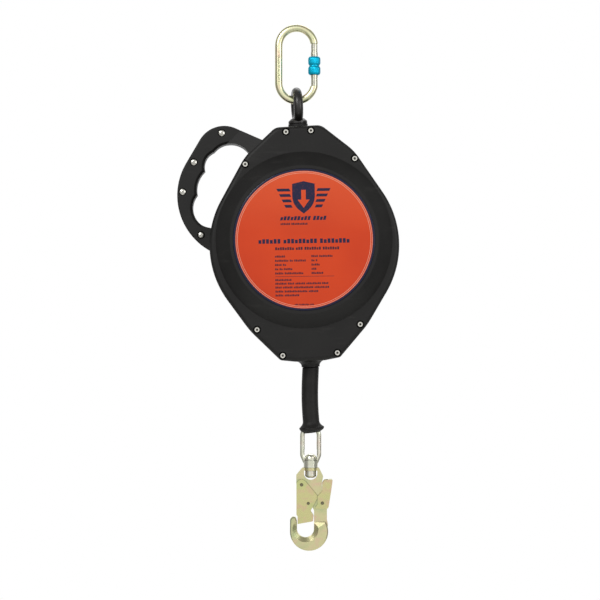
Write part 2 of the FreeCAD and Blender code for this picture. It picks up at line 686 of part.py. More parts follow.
carrier_in = drum_half + flange_thick + flange_gap + plate_thick + 1.5
carrier_out = carrier_in + 6.0
pawl_in = carrier_out + 0.5
pawl_out = pawl_in + 6.0
spring_in = plate_outer + 2.5
spring_out = spring_in + strip_width
arbor_r = shaft_r + 3.0
shaft = fused([disc_y(shaft_r, -shaft_half, shaft_half), disc_y(arbor_r, spring_in, spring_out)])
shaft_keys = [
    block((-key_half, -drum_half, shaft_r - key_height), (key_half, drum_half, shaft_r + key_height)),
    block((-key_half, -carrier_out, shaft_r - key_height), (key_half, -carrier_in, shaft_r + key_height)),
]
clip_y = -carrier_out - 0.1
for key in shaft_keys:
    shaft = shaft.cut(key)
shaft = shaft.cut(ring_y(shaft_r + 1, shaft_r - 0.9, clip_y, clip_y - 1.1))
clip = ring_y(shaft_r + 3, shaft_r - 0.8, clip_y - 0.02, clip_y - 1.08)
clip = clip.cut(block((-3.5, -FAR, 0), (3.5, FAR, FAR)))
shaft = shaft.makeChamfer(0.8, edges_at_depth(shaft, shaft_half, everywhere) +
                          edges_at_depth(shaft, -shaft_half, everywhere))
nodes["main_shaft"] = hang(shaft)
nodes["shaft_keys"] = hang(Part.makeCompound(shaft_keys))
nodes["shaft_circlip"] = hang(clip)

# ---------------------------------------------------------------- centrifugal brake (front)
pawl_pin_place = 26.0
pawl_pin_r = 3.0
carrier = ring_y(38.0, shaft_r, -carrier_in, -carrier_out)
carrier = carrier.cut(block((-key_fit, -FAR, 0), (key_fit, FAR, shaft_r + key_height)))
for side in (-1, 1):
    carrier = carrier.cut(disc_y(pawl_pin_r, -FAR, FAR, side * pawl_pin_place, 0))
nodes["pawl_carrier"] = hang(carrier)
pawl_pins = [
    disc_y(pawl_pin_r, -carrier_in, -pawl_out - 0.6, side * pawl_pin_place, 0) for side in (-1, 1)
]
nodes["pawl_pins"] = hang(Part.makeCompound(pawl_pins))

# the tip leads as the cable pays out, clockwise seen from the label's side
pawl_corners = [
    (20, 10, 3), (33.5, 12, 3), (36, -10, 6), (33, -24, 3), (26.5, -27.5, 1.5), (24, -22, 3), (20, -8, 4),
]
pawl = slab(pawl_corners, -pawl_in, -pawl_out)
pawl = pawl.cut(disc_y(pawl_pin_r + running, -FAR, FAR, pawl_pin_place, 0))
nodes["pawl_a"] = hang(pawl)
nodes["pawl_b"] = hang(turned_about(pawl, ORIGIN, ALONG_Y, 180))
pawl_coil = coil_spring(1.8, 0.35, 8.0, 6)
pawl_springs = []
for turn in (0, 180):
    one = placed(pawl_coil, 16.0, -(pawl_in + pawl_out) / 2, -21.0)
    pawl_springs.append(turned_about(one, ORIGIN, ALONG_Y, turn))
nodes["pawl_springs"] = hang(Part.makeCompound(pawl_springs))

housing_wall_r = ring_r + 2.0
stack = plate_outer
seat_y = stack + 5.5
ring_y0 = seat_y + lining
ring_y1 = ring_y0 + 6.0
press_y = ring_y1 + lining
disc_spring_y = press_y + 2.5
cover_y = disc_spring_y + 1.5
housing = fused([
    ring_y(housing_wall_r + 4, 40.0, -stack, -stack - 3),
    ring_y(housing_wall_r, ring_bore, -stack - 2.9, -seat_y),
    ring_y(housing_wall_r + 4, housing_wall_r, -stack - 2.9, -cover_y),
])
brake_bolt_places = [on_ring(housing_wall_r + 9, 60 * k) for k in range(6)]
ears = fused([disc_y(6.0, -stack, -cover_y, x, z) for x, z in brake_bolt_places])
ears = ears.cut(disc_y(housing_wall_r + 0.5, -FAR, FAR))
housing = housing.fuse(ears).removeSplitter()
brake_bolt_r = 2.5
for x, z in brake_bolt_places:
    housing = housing.cut(disc_y(brake_bolt_r + seat_gap, -FAR, FAR, x, z))
nodes["brake_housing"] = hang(housing)
linings = [
    ring_y(ring_r, ring_bore + 0.5, -seat_y, -ring_y0 + 0.03),
    ring_y(ring_r, ring_bore + 0.5, -ring_y1 - 0.03, -press_y),
]
nodes["brake_linings"] = hang(Part.makeCompound(linings))

# ratchet ring with internal saw teeth, steep faces towards the pawls' tips
tooth = 5.0
ratchet = ring_y(ring_r - 0.3, ring_bore, -ring_y0, -ring_y1)
teeth = []
pitch = math.radians(360 / ring_teeth)
tooth_start = math.radians(9)
root_r = ring_bore * 1.01
for k in range(ring_teeth):
    a = -k * pitch - tooth_start
    b = a - 0.45 * pitch
    points = [
        (root_r * math.cos(a), root_r * math.sin(a), 0),
        ((ring_bore - tooth) * math.cos(a), (ring_bore - tooth) * math.sin(a), 0.3),
        (root_r * math.cos(b), root_r * math.sin(b), 0),
    ]
    teeth.append(slab(points, -ring_y0, -ring_y1))
nodes["ratchet_ring"] = hang(ratchet.multiFuse(teeth).removeSplitter())
nodes["brake_pressure_plate"] = hang(ring_y(ring_r + 1.5, ring_bore, -press_y, -disc_spring_y))
spring_cone = turned_y([
    (ring_r + 1, -disc_spring_y), (ring_r + 1, -disc_spring_y - 0.7),
    (ring_bore + 2, -cover_y), (ring_bore + 2, -cover_y + 0.7),
])
nodes["brake_disc_spring"] = hang(spring_cone)
cover = ring_y(housing_wall_r + 15, ring_bore + 1, -cover_y, -cover_y - 2.5)
for x, z in brake_bolt_places:
    cover = cover.cut(disc_y(brake_bolt_r + seat_gap, -FAR, FAR, x, z))
nodes["brake_cover"] = hang(cover)
brake_bolts = []
for x, z in brake_bolt_places:
    head = disc_y(4.25, -cover_y - 2.5, -cover_y - 5.0, x, z)
    brake_bolts.append(head.fuse(disc_y(brake_bolt_r, -cover_y - 2.5, -stack, x, z)))
nodes["brake_bolts"] = hang(Part.makeCompound(brake_bolts))

# ---------------------------------------------------------------- power spring (rear)
spring_case_r = 60.0
case_floor_y = plate_outer + 1.5
spring_case = fused([
    ring_y(spring_case_r, bush_r + 4, plate_outer, case_floor_y),
    ring_y(spring_case_r, spring_case_r - 3, plate_outer, spring_out + 1.0),
])
lug_places = [on_ring(spring_case_r + 3, 90 * k + 45) for k in range(4)]
lugs = fused([disc_y(5.0, plate_outer, spring_out + 1.0, x, z) for x, z in lug_places])
spring_case = spring_case.fuse(lugs.cut(disc_y(spring_case_r - 1, -FAR, FAR))).removeSplitter()
for x, z in lug_places:
    spring_case = spring_case.cut(disc_y(1.6, -FAR, FAR, x, z))
nodes["spring_case"] = hang(spring_case)
case_cover = disc_y(spring_case_r + 8, spring_out + 1.0, spring_out + 3.0)
case_cover = case_cover.cut(disc_y(shaft_r + 4, -FAR, FAR))
for x, z in lug_places:
    case_cover = case_cover.cut(disc_y(1.6, -FAR, FAR, x, z))
nodes["spring_case_cover"] = hang(case_cover)
cover_screws = []
for x, z in lug_places:
    head = disc_y(3.0, spring_out + 3.0, spring_out + 4.8, x, z)
    cover_screws.append(head.fuse(disc_y(1.5, spring_out + 3.0, spring_out - 6, x, z)))
nodes["spring_case_screws"] = hang(Part.makeCompound(cover_screws))


def spiral_edges(first_r, step, halves, y):
    """Half circles about two centres by turns, each a step larger."""
    edges = []
    for k in range(halves):
        radius = first_r + k * step
        centre = 0.0 if k % 2 == 0 else step
        side = 1 if k % 2 == 0 else -1
        start = Vec(centre + side * radius, y, 0)
        end = Vec(centre - side * radius, y, 0)
        edges.append(Part.Arc(start, Vec(centre, y, side * radius), end).toShape())
    return edges


spring_step = 1.9
spring_halves = 2 * int((spring_case_r - 5 - arbor_r - 1) / (2 * spring_step))
inner_edges = spiral_edges(arbor_r + 0.4, spring_step, spring_halves, spring_in)
outer_edges = spiral_edges(arbor_r + 0.4 + strip_thick, spring_step, spring_halves, spring_in)
caps = [
    Part.LineSegment(inner_edges[0].Vertexes[0].Point, outer_edges[0].Vertexes[0].Point).toShape(),
    Part.LineSegment(inner_edges[-1].Vertexes[-1].Point, outer_edges[-1].Vertexes[-1].Point).toShape(),
]
strip = Part.Wire(Part.__sortEdges__(inner_edges + outer_edges + caps))
nodes["power_spring"] = hang(Part.Face(strip).extrude(Vec(0, strip_width, 0)))

# ---------------------------------------------------------------- lifeline and its end
# The cable leaves the drum on a tangent, bends over the guide's trumpet and hangs down line_x.
bend = Vec(line_x, 0, exit_world_z + 22.2)
to_drum = drum_world - bend
reach = math.sqrt(to_drum.Length ** 2 - run_r ** 2)
swing = math.asin(run_r / to_drum.Length)
along = to_drum.normalize()
run_direction = Vec(
    along.x * math.cos(swing) + along.z * math.sin(swing), 0,
    -along.x * math.sin(swing) + along.z * math.cos(swing))
drum_leave = bend + run_direction * reach
guide_bend_r = 30.0

bumper_top = exit_world_z - 1.1
bumper_foot = bumper_top - bumper_length
thimble_z = bumper_foot + 8.1
loop_r = thimble_r + thimble_thick + cable_r
ferrule_foot = thimble_z + 19.6
ferrule_top = ferrule_foot + 2 * ferrule_half
rope_y = cable_r + 0.2
thimble_half = 3.0
saddle_drop = link_half - math.sqrt(link_half ** 2 - thimble_half ** 2)
link_top = thimble_z - thimble_r + link_wire_r + saddle_drop + swing_gap

half_turn_run = Part.Arc(
    Vec(line_x, -loop_r, thimble_z), Vec(line_x, 0, thimble_z - loop_r), Vec(line_x, loop_r, thimble_z))
cable_points = [
    drum_leave, bend, Vec(line_x, 0, ferrule_top + 9.0), Vec(line_x, -rope_y, ferrule_top + 1.0),
    Vec(line_x, -rope_y, ferrule_foot - 1.5), Vec(line_x, -loop_r, thimble_z + 4.0),
    Vec(line_x, -loop_r, thimble_z),
]
cable_radii = [0, guide_bend_r, 12, 12, 12, 12, 0]
down_run = rounded_path(cable_points, cable_radii)
up_points = [
    Vec(line_x, loop_r, thimble_z), Vec(line_x, loop_r, thimble_z + 4.0),
    Vec(line_x, rope_y, ferrule_foot - 1.5), Vec(line_x, rope_y, ferrule_top + 3.0),
]
up_run = rounded_path(up_points, [0, 12, 12, 0])
rope_path = Part.Wire(Part.__sortEdges__(down_run.Edges + [half_turn_run.toShape()] + up_run.Edges))
lifeline = swept(rope_path, cable_r)
print("lifeline path", round(rope_path.Length, 1), "mm, tube volume over section times length",
      round(lifeline.Volume / (math.pi * cable_r ** 2 * rope_path.Length), 4))
print("bend radii along the lifeline", [r for r in cable_radii if r], "and the loop", round(loop_r, 1))
nodes["lifeline_cable"] = lifeline

ferrule_y = rope_y + cable_r + 2.0
ferrule_x = cable_r + 2.2
side_y = ferrule_y - ferrule_x
ferrule = fused([
    block((-ferrule_x, -side_y, ferrule_foot), (ferrule_x, side_y, ferrule_top)),
    rod(ferrule_x, (0, -side_y, ferrule_foot), (0, -side_y, ferrule_top)),
    rod(ferrule_x, (0, side_y, ferrule_foot), (0, side_y, ferrule_top)),
])
for y in (-rope_y, rope_y):
    ferrule = ferrule.cut(rod(cable_r + running, (0, y, ferrule_foot - 1), (0, y, ferrule_top + 1)))
nodes["ferrule"] = placed(ferrule, line_x)

thimble_mid = thimble_r + thimble_thick
thimble_low = Part.makeCylinder(thimble_mid, 2 * thimble_half, Vec(-thimble_half, 0, 0), ALONG_X)
thimble_neck = Part.Face(Part.makePolygon([
    Vec(-thimble_half, -thimble_mid, 0), Vec(-thimble_half, thimble_mid, 0),
    Vec(-thimble_half, thimble_mid, 2.0), Vec(-thimble_half, 1.2, 15.5),
    Vec(-thimble_half, -1.2, 15.5), Vec(-thimble_half, -thimble_mid, 2.0),
    Vec(-thimble_half, -thimble_mid, 0),
])).extrude(Vec(2 * thimble_half, 0, 0))
thimble = fused([thimble_low, thimble_neck])
thimble_hole = Part.makeCylinder(thimble_r, 20, Vec(-10, 0, 0), ALONG_X)
hole_neck = Part.Face(Part.makePolygon([
    Vec(-10, -thimble_r, 0), Vec(-10, thimble_r, 0), Vec(-10, 0, 13.0), Vec(-10, -thimble_r, 0),
])).extrude(Vec(20, 0, 0))
thimble = thimble.cut(thimble_hole).cut(hole_neck)
nodes["thimble"] = placed(thimble, line_x, 0, thimble_z)

bell_z = bumper_foot + 20.0
bumper = turned_z([
    (bumper_bore, bumper_top), (bumper_r - 0.8, bumper_top), (bumper_r, bumper_top - 0.8),
    (bumper_r, bell_z + 8.0), (bumper_r + 0.9, bell_z + 4.5), (bumper_r + 2.6, bell_z + 1.0),
    (bell_r - 1.3, bell_z - 1.5), (bell_r, bell_z - 5.0), (bell_r, bumper_foot + 0.8),
    (bell_r - 0.7, bumper_foot), (bell_r - 1.5, bumper_foot), (bell_r - 4.3, bumper_foot + 12.7),
    (bumper_bore, bumper_foot + 27.0),
])
nodes["cable_bumper"] = placed(bumper, line_x)

# ---------------------------------------------------------------- link
# Hook frame: x from the line's axis, z down from the centre of the link's top bar.
boss_top = -44.8
link_boss_r = 9.6
link_boss_foot = boss_top - 9.3
bolt_head_r = 8.2
low_head_r = 7.4
seat_r = bolt_head_r + 0.4
link_bend = -38.0
apex = Part.Arc(Vec(-link_half, 0, -link_half), ORIGIN, Vec(link_half, 0, -link_half)).toShape()


def leg_side(side):
    points = [Vec(side * link_half, 0, -link_half), Vec(side * link_half, 0, link_bend),
              Vec(side * 5.6, 0, link_boss_foot + 3.4)]
    return rounded_path(points, [0, 8, 0]).Edges


link_path = Part.Wire(Part.__sortEdges__([apex] + leg_side(-1) + leg_side(1)))
link = fused([swept(link_path, link_wire_r), rod(link_boss_r, (0, 0, link_boss_foot), (0, 0, boss_top))])
link = link.cut(rod(seat_r, (0, 0, boss_top), (0, 0, link_bend + 8)))
link = link.cut(rod(swivel_pin_r + running, (0, 0, -80), (0, 0, -20)))
nodes["hook_link"] = placed(link, line_x, 0, link_top)

# ---------------------------------------------------------------- hook
bridge_top = link_boss_foot - swing_gap
bridge_foot = bridge_top - 4.0
head_top = boss_top + 9.3
low_head_foot = bridge_foot - 9.5


def hook_place(shape):
    return placed(shape, line_x, 0, link_top)


bolt = turned_z([
    (0, low_head_foot), (4.9, low_head_foot), (low_head_r, low_head_foot + 2.0),
    (low_head_r, bridge_foot - 0.1),
    (swivel_pin_r, bridge_foot - 0.1), (swivel_pin_r, boss_top + 0.1), (bolt_head_r, boss_top + 0.1),
    (bolt_head_r, boss_top + 3.4), (7.3, boss_top + 5.6), (5.6, boss_top + 7.5), (3.0, boss_top + 8.8),
    (0, head_top),
])
nodes["hook_swivel_bolt"] = hook_place(bolt)

gate_pivot = (-12.3, -77.3)
lever_pivot = (15.7, -101.9)
lock_pin = (-3.3, -102.4)
gate_open = 20.0
shank = slab([
    (-11.2, bridge_top, 2), (11.2, bridge_top, 2), (16.8, -66, 3), (15.0, -76, 4), (15.5, -90, 6),
    (21.9, -103, 6), (21.9, -124, 3), (23.2, -131, 0), (22.5, -137, 0), (4.5, -137, 0), (4.5, -112, 3),
    (-4, -95, 3), (-16, -80.5, 2.5), (-16, -76.4, 0.5), (-19.4, -76.4, 0.8), (-19.4, -64.2, 1.5),
], -hook_plate, hook_plate)
window_half = low_head_r + 1.6
window_foot = low_head_foot - 3.2
window = slab([
    (-window_half, bridge_foot, 0), (window_half, bridge_foot, 0),
    (window_half, window_foot, window_half - 0.2), (-window_half, window_foot, window_half - 0.2),
], -20, 20)
bridge = rod(window_half - 0.2, (0, 0, bridge_foot), (0, 0, bridge_top))
bowl_x, bowl_z, bowl_r = -2.2, -140.5, 25.7
throat_x, throat_z, throat_r = -7.0, -137.0, 11.5
mouth_left, mouth_right = -18.5, 4.5
bowl_top = -128.0
bowl_right = Vec(bowl_x + math.sqrt(bowl_r ** 2 - (bowl_top - bowl_z) ** 2), -bowl_half, bowl_top)
bowl_left = Vec(bowl_x - bowl_r, -bowl_half, bowl_z)
bowl_foot = Vec(bowl_x, -bowl_half, bowl_z - bowl_r)
tip_points = [(-27.7, -124), (-24.6, -120.7), (-20.2, -121.2), (mouth_left, -127), (mouth_left, bowl_top)]
tip_line = [bowl_left] + [Vec(x, -bowl_half, z) for x, z in tip_points] + [bowl_right]
bowl_edges = rounded_path(tip_line, [0, 3.5, 2.2, 2.2, 2.5, 0, 0]).Edges
bowl_edges.append(Part.Arc(bowl_left, bowl_foot, bowl_right).toShape())
bowl = Part.Face(Part.Wire(Part.__sortEdges__(bowl_edges))).extrude(Vec(0, 2 * bowl_half, 0))


def outside_of_bowl(point):
    return point.z < bowl_top - 1 or point.x < mouth_left + 0.01


bowl = bowl.makeChamfer(1.4, edges_at_depth(bowl, bowl_half, outside_of_bowl) +
                        edges_at_depth(bowl, -bowl_half, outside_of_bowl))
hook_body = fused([shank, bowl])
throat_cuts = [
    disc_y(throat_r, -20, 20, throat_x, throat_z),
    block((mouth_left, -20, throat_z), (mouth_right, 20, -120)),
]
# the wide bevel that leads the rope or bar into the throat, on both faces
bevel_wide = 6.0
edge_half = 2.5
for side in (-1, 1):
    bevel_foot = Vec(throat_x, side * edge_half, throat_z)
    throat_cuts.append(Part.makeCone(
        throat_r, throat_r + bevel_wide, bowl_half - edge_half, bevel_foot, Vec(0, side, 0)))
# the sloped shoulder from the thick bowl to the thin shank, on both faces
for side in (-1, 1):
    shoulder = [
        Vec(mouth_right - 0.5, side * bowl_half, throat_z - 2.5), Vec(21.5, side * bowl_half, bowl_top),
        Vec(mouth_right - 0.5, side * hook_plate, bowl_top),
    ]
    shoulder_face = Part.Face(Part.makePolygon(shoulder + shoulder[:1]))
    throat_cuts.append(shoulder_face.extrude(Vec(0, side * bowl_half, 0)))
# the slot that the lock pin sweeps when the gate opens
pin_reach = math.hypot(lock_pin[0] - gate_pivot[0], lock_pin[1] - gate_pivot[1])
pin_angle = math.degrees(math.atan2(lock_pin[1] - gate_pivot[1], lock_pin[0] - gate_pivot[0]))
slot_r = rivet_r + 0.6


def round_gate_pivot(radius, angle):
    angle = math.radians(angle)
    return Vec(gate_pivot[0] + radius * math.cos(angle), -20, gate_pivot[1] + radius * math.sin(angle))


def slot_side(radius):
    angles = (pin_angle, pin_angle + gate_open / 2, pin_angle + gate_open)
    return Part.Arc(*[round_gate_pivot(radius, angle) for angle in angles]).toShape()


outer_side = slot_side(pin_reach + slot_r)
inner_side = slot_side(pin_reach - slot_r)
slot_ends = [round_gate_pivot(pin_reach, angle) for angle in (pin_angle, pin_angle + gate_open)]
slot_outline = [outer_side, inner_side]
for angle in (pin_angle, pin_angle + gate_open):
    slot_outline.append(Part.LineSegment(
        round_gate_pivot(pin_reach - slot_r, angle), round_gate_pivot(pin_reach + slot_r, angle)).toShape())
pin_slot = Part.Face(Part.Wire(Part.__sortEdges__(slot_outline))).extrude(Vec(0, 40, 0))
pin_slot = fused([pin_slot] + [disc_y(slot_r, -20, 20, end.x, end.z) for end in slot_ends])
hook_body = hook_body.cut(fused([window] + throat_cuts))
hook_body = hook_body.fuse(bridge).removeSplitter()
hook_body = hook_body.cut(rod(swivel_pin_r + running, (0, 0, bridge_foot - 1), (0, 0, bridge_top + 1)))
hook_body = hook_body.cut(pin_slot)
for x, z in (gate_pivot, lever_pivot):
    hook_body = hook_body.cut(disc_y(rivet_r, -20, 20, x, z))
nodes["hook_body"] = hook_place(hook_body)

# the gate: two sheet cheeks and a back web, folded from one strip
gate_in = hook_plate + cheek_gap
gate_out = gate_in + cheek_thick
gate_corners = [
    (-19.2, -75, 2.5), (-16, -71.2, 2), (-11.7, -69.8, 2.5), (-7.6, -72, 3), (10.1, -93.5, 1.5),
    (-0.2, -112.5, 2), (3.9, -119, 2), (3.2, -126.6, 2), (-17.7, -130.3, 1), (-17.7, -119.8, 0.5),
    (-19.2, -117.8, 0.5),
]
web_corners = [
    (-19.2, -77.5, 0), (-17.4, -77.5, 0), (-17.4, -117.6, 0), (-15.9, -119.6, 0),
    (-15.9, -130.0, 0), (-17.7, -130.3, 0), (-17.7, -119.8, 0), (-19.2, -117.8, 0),
]
hook_gate = fused([
    slab(gate_corners, gate_in, gate_out), slab(gate_corners, -gate_out, -gate_in),
    slab(web_corners, -gate_out, gate_out),
])
for x, z in (gate_pivot, lock_pin):
    hook_gate = hook_gate.cut(disc_y(rivet_r + running, -20, 20, x, z))
nodes["hook_gate"] = hook_place(hook_gate)

# the lock lever: two cheeks outside the gate's, joined by the thumb pad behind
lever_in = gate_out + cheek_gap
lever_out = lever_in + cheek_thick
lever_corners = [
    (9.3, -93.0, 1.5), (15.5, -86, 2), (15.5, -75, 2.5), (18.5, -70.9, 2), (29.7, -70.2, 1.5),
    (27.5, -86.2, 4), (24.1, -107.5, 1.5), (22.4, -109.4, 1), (5, -109.4, 1.5), (9.3, -103.5, 2),
]
pad_corners = [
    (23.2, -70.6, 0), (29.7, -70.2, 1.5), (27.5, -86.2, 4), (24.1, -107.5, 0), (22.4, -106.5, 0),
    (22.4, -100, 0),
]
lever = fused([
    slab(lever_corners, lever_in, lever_out), slab(lever_corners, -lever_out, -lever_in),
    slab(pad_corners, -lever_out, lever_out),
])
lever = lever.cut(disc_y(rivet_r + running, -20, 20, *lever_pivot))
nodes["hook_lock_lever"] = hook_place(lever)


def rivet(place, grip, head_r):
    """Pin with a domed head on each side."""
    x, z = place
    pieces = [disc_y(rivet_r, -grip - 0.1, grip + 0.1, x, z)]
    for side in (-1, 1):
        cap = Part.makeCone(head_r, head_r * 0.72, 0.5, Vec(x, side * (grip + 0.1), z), Vec(0, side, 0))
        pieces.append(cap)
    return fused(pieces)


nodes["hook_rivets"] = hook_place(Part.makeCompound([
    rivet(gate_pivot, gate_out, rivet_head_r), rivet(lever_pivot, lever_out, rivet_head_r)]))
nodes["hook_lock_pin"] = hook_place(rivet(lock_pin, gate_out, 2.1))
lever_coil = turned_about(coil_spring(2.2, 0.45, 6.0, 4), ORIGIN, ALONG_Y, 90)
nodes["hook_lever_spring"] = hook_place(placed(lever_coil, 15.9, 0, -81.0))
gate_back_coil = turned_about(coil_spring(2.2, 0.45, 9.0, 5), ORIGIN, ALONG_Y, 90)
nodes["hook_gate_spring"] = hook_place(placed(gate_back_coil, -16.6, 0, -92.5))

# ---------------------------------------------------------------- write the parts
os.makedirs("parts", exist_ok=True)
for name, shape in nodes.items():
    shape.exportStep("parts/" + name + ".step")
print(len(nodes), "nodes")
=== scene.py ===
import math

import bpy
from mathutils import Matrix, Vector


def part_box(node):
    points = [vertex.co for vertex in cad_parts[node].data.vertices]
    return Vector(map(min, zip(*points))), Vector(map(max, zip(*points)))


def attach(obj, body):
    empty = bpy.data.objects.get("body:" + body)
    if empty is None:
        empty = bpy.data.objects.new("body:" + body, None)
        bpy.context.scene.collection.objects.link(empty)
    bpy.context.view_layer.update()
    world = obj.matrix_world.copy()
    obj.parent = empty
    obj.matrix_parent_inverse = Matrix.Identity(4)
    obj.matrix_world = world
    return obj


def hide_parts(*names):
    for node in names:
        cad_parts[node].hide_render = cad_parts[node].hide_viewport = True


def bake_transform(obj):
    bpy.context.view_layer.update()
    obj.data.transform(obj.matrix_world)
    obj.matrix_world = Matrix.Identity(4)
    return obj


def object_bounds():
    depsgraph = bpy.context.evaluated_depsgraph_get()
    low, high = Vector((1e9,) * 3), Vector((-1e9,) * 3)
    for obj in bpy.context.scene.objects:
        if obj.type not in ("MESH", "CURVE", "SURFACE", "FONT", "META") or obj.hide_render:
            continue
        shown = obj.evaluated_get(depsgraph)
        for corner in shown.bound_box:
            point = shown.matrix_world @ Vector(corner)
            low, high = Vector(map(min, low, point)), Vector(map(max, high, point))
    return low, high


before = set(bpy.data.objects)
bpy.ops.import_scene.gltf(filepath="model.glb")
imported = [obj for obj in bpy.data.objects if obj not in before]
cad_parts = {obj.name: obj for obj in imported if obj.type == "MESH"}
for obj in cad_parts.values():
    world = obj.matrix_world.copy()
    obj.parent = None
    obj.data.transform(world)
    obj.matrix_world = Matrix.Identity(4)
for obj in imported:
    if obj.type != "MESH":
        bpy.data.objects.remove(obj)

cad_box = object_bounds()

# ------------------------------------------------------------------ karabiner bow
# The oval karabiner's body is round steel bar, bent hot and zinc plated, then passivated
# in chromate. The inspection marks on its long side are stamped cold with a dot punch.


def linear(colour):
    """An sRGB hex colour as the linear one that a shader takes."""
    parts = [int(colour[i:i + 2], 16) / 255 for i in (1, 3, 5)]
    return [c / 12.92 if c <= 0.04045 else ((c + 0.055) / 1.055) ** 2.4 for c in parts] + [1.0]


def per_metre(millimetres):
    """Scale of a pattern that repeats every so many millimetres."""
    return 1000 / millimetres


def add(tree, kind, inputs=None, **settings):
    """Adds a shader node. An input is a value, a node, or a node with one of its outputs."""
    made = tree.nodes.new("ShaderNode" + kind)
    for name, value in settings.items():
        setattr(made, name, value)
    for name, value in (inputs or {}).items():
        if isinstance(value, bpy.types.Node):
            tree.links.new(value.outputs[0], made.inputs[name])
        elif isinstance(value, tuple) and isinstance(value[0], bpy.types.Node):
            tree.links.new(value[0].outputs[value[1]], made.inputs[name])
        else:
            made.inputs[name].default_value = value
    return made


def new_finish(name):
    """An empty material, its node tree and the piece's own coordinates in metres."""
    made = bpy.data.materials.new(name)
    made.use_nodes = True
    tree = made.node_tree
    tree.nodes.clear()
    return made, tree, (add(tree, "TexCoord"), "Object")


def surface(tree, **inputs):
    """The shader of a finish. An underscore in a name stands for a space."""
    shader = add(tree, "BsdfPrincipled", {k.replace("_", " "): v for k, v in inputs.items()})
    add(tree, "OutputMaterial", {"Surface": shader})


def dress(finish, slot, *names):
    """Gives CAD nodes their finish."""
    for name in names:
        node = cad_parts[name]
        node.data.materials.clear()
        node.data.materials.append(finish)


def passivated_zinc(name, pale, pink, green, roughness, marks=None):
    """Zinc plate under a chromate film: pale yellow, with pink and green where the film is
    thicker, and painted shade darkening its crevices."""
    made, tree, place = new_finish(name)
    film = add(tree, "TexNoise", {"Vector": place, "Scale": per_metre(9), "Detail": 3.0,
                                  "Distortion": 0.6})
    patch = add(tree, "TexNoise", {"Vector": place, "Scale": per_metre(21), "Detail": 2.0})
    grain = add(tree, "TexNoise", {"Vector": place, "Scale": per_metre(0.5), "Detail": 2.0})
    to_pink = add(tree, "MapRange", {"Value": film, "From Min": 0.45, "From Max": 0.72})
    to_green = add(tree, "MapRange", {"Value": patch, "From Min": 0.48, "From Max": 0.7})
    colour = add(tree, "Mix", {0: to_pink, 6: linear(pale), 7: linear(pink)}, data_type="RGBA")
    colour = add(tree, "Mix", {0: to_green, 6: (colour, 2), 7: linear(green)}, data_type="RGBA")
    # Painted shade: ambient occlusion darkens the colour in crevices and where parts meet.
    painted_shade_ao = add(tree, "AmbientOcclusion", {"Distance": 0.0022}, samples=6)
    shade = add(tree, "MapRange", {"Value": (painted_shade_ao, "AO"), "From Min": 0.35, "From Max": 0.85,
                                   "To Min": 0.30})
    colour = add(tree, "Mix", {0: 1.0, 6: (colour, 2), 7: shade}, data_type="RGBA",
                 blend_type="MULTIPLY")
    height = add(tree, "Math", {0: grain, 1: film}, operation="ADD")
    if marks:
        stamp = marks(tree, place)
        colour = add(tree, "Mix", {0: stamp, 6: (colour, 2), 7: linear("#4d4a2c")},
                     data_type="RGBA")
        height = add(tree, "Math", {0: height, 1: stamp}, operation="SUBTRACT")
    rough = add(tree, "MapRange", {"Value": film, "To Min": roughness - 0.06,
                                   "To Max": roughness + 0.1})
    bump = add(tree, "Bump", {"Height": height, "Strength": 0.12, "Distance": 0.0003})
    surface(tree, Base_Color=(colour, 2), Metallic=1.0, Roughness=rough, Normal=bump)
    return made


low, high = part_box("karabiner_bow")
SHANK_MARKS_TOP = high.z - 0.036
SHANK_MARKS_FOOT = low.z + 0.030
SHANK_X = low.x + 0.0052


def punched_row(tree, place):
    """Mask of the dot-punched row along the shank: dots in groups, 1.3 mm apart."""
    axis = add(tree, "SeparateXYZ", {"Vector": place})
    column = add(tree, "Math", {0: (axis, "X"), 1: SHANK_X, 2: 0.0011}, operation="COMPARE")
    middle = (SHANK_MARKS_TOP + SHANK_MARKS_FOOT) / 2
    reach = (SHANK_MARKS_TOP - SHANK_MARKS_FOOT) / 2
    stretch = add(tree, "Math", {0: (axis, "Z"), 1: middle, 2: reach}, operation="COMPARE")
    front = add(tree, "Math", {0: (axis, "Y"), 1: -0.0025}, operation="LESS_THAN")
    dots = add(tree, "TexVoronoi", {"Vector": place, "Scale": per_metre(1.3), "Randomness": 0.7})
    dot = add(tree, "Math", {0: (dots, "Distance"), 1: 0.42}, operation="LESS_THAN")
    shown = add(tree, "Math", {0: column, 1: stretch}, operation="MULTIPLY")
    shown = add(tree, "Math", {0: shown, 1: front}, operation="MULTIPLY")
    return add(tree, "Math", {0: shown, 1: dot}, operation="MULTIPLY")


karabiner_zinc = passivated_zinc("yellow_passivated_zinc_bar", "#ecebc2", "#efd6ba", "#d6deac",
                                 0.26, punched_row)
dress(karabiner_zinc, "zinc_steel", "karabiner_bow")

# ------------------------------------------------------------------ karabiner gate
# The gate is turned steel rod, bright zinc plated, with a riveted hinge pin, a latch pin
# and a spring-loaded plunger inside it.


def bright_zinc(name, colour, roughness, stroke):
    """Clear-passivated zinc plate: a cool bright metal with fine lines left by turning."""
    made, tree, place = new_finish(name)
    along = add(tree, "Mapping", {"Vector": place, "Scale": (1.0, 1.0, stroke)})
    lines = add(tree, "TexNoise", {"Vector": along, "Scale": per_metre(0.8), "Detail": 3.0})
    bloom = add(tree, "TexNoise", {"Vector": place, "Scale": per_metre(6), "Detail": 3.0})
    dull = add(tree, "MapRange", {"Value": bloom, "From Min": 0.35, "From Max": 0.7})
    mixed = add(tree, "Mix", {0: dull, 6: linear(colour), 7: linear("#b9b7ac")}, data_type="RGBA")
    rough = add(tree, "MapRange", {"Value": lines, "To Min": roughness - 0.06,
                                   "To Max": roughness + 0.12})
    bump = add(tree, "Bump", {"Height": lines, "Strength": 0.15, "Distance": 0.0002})
    surface(tree, Base_Color=(mixed, 2), Metallic=1.0, Roughness=rough, Normal=bump)
    return made


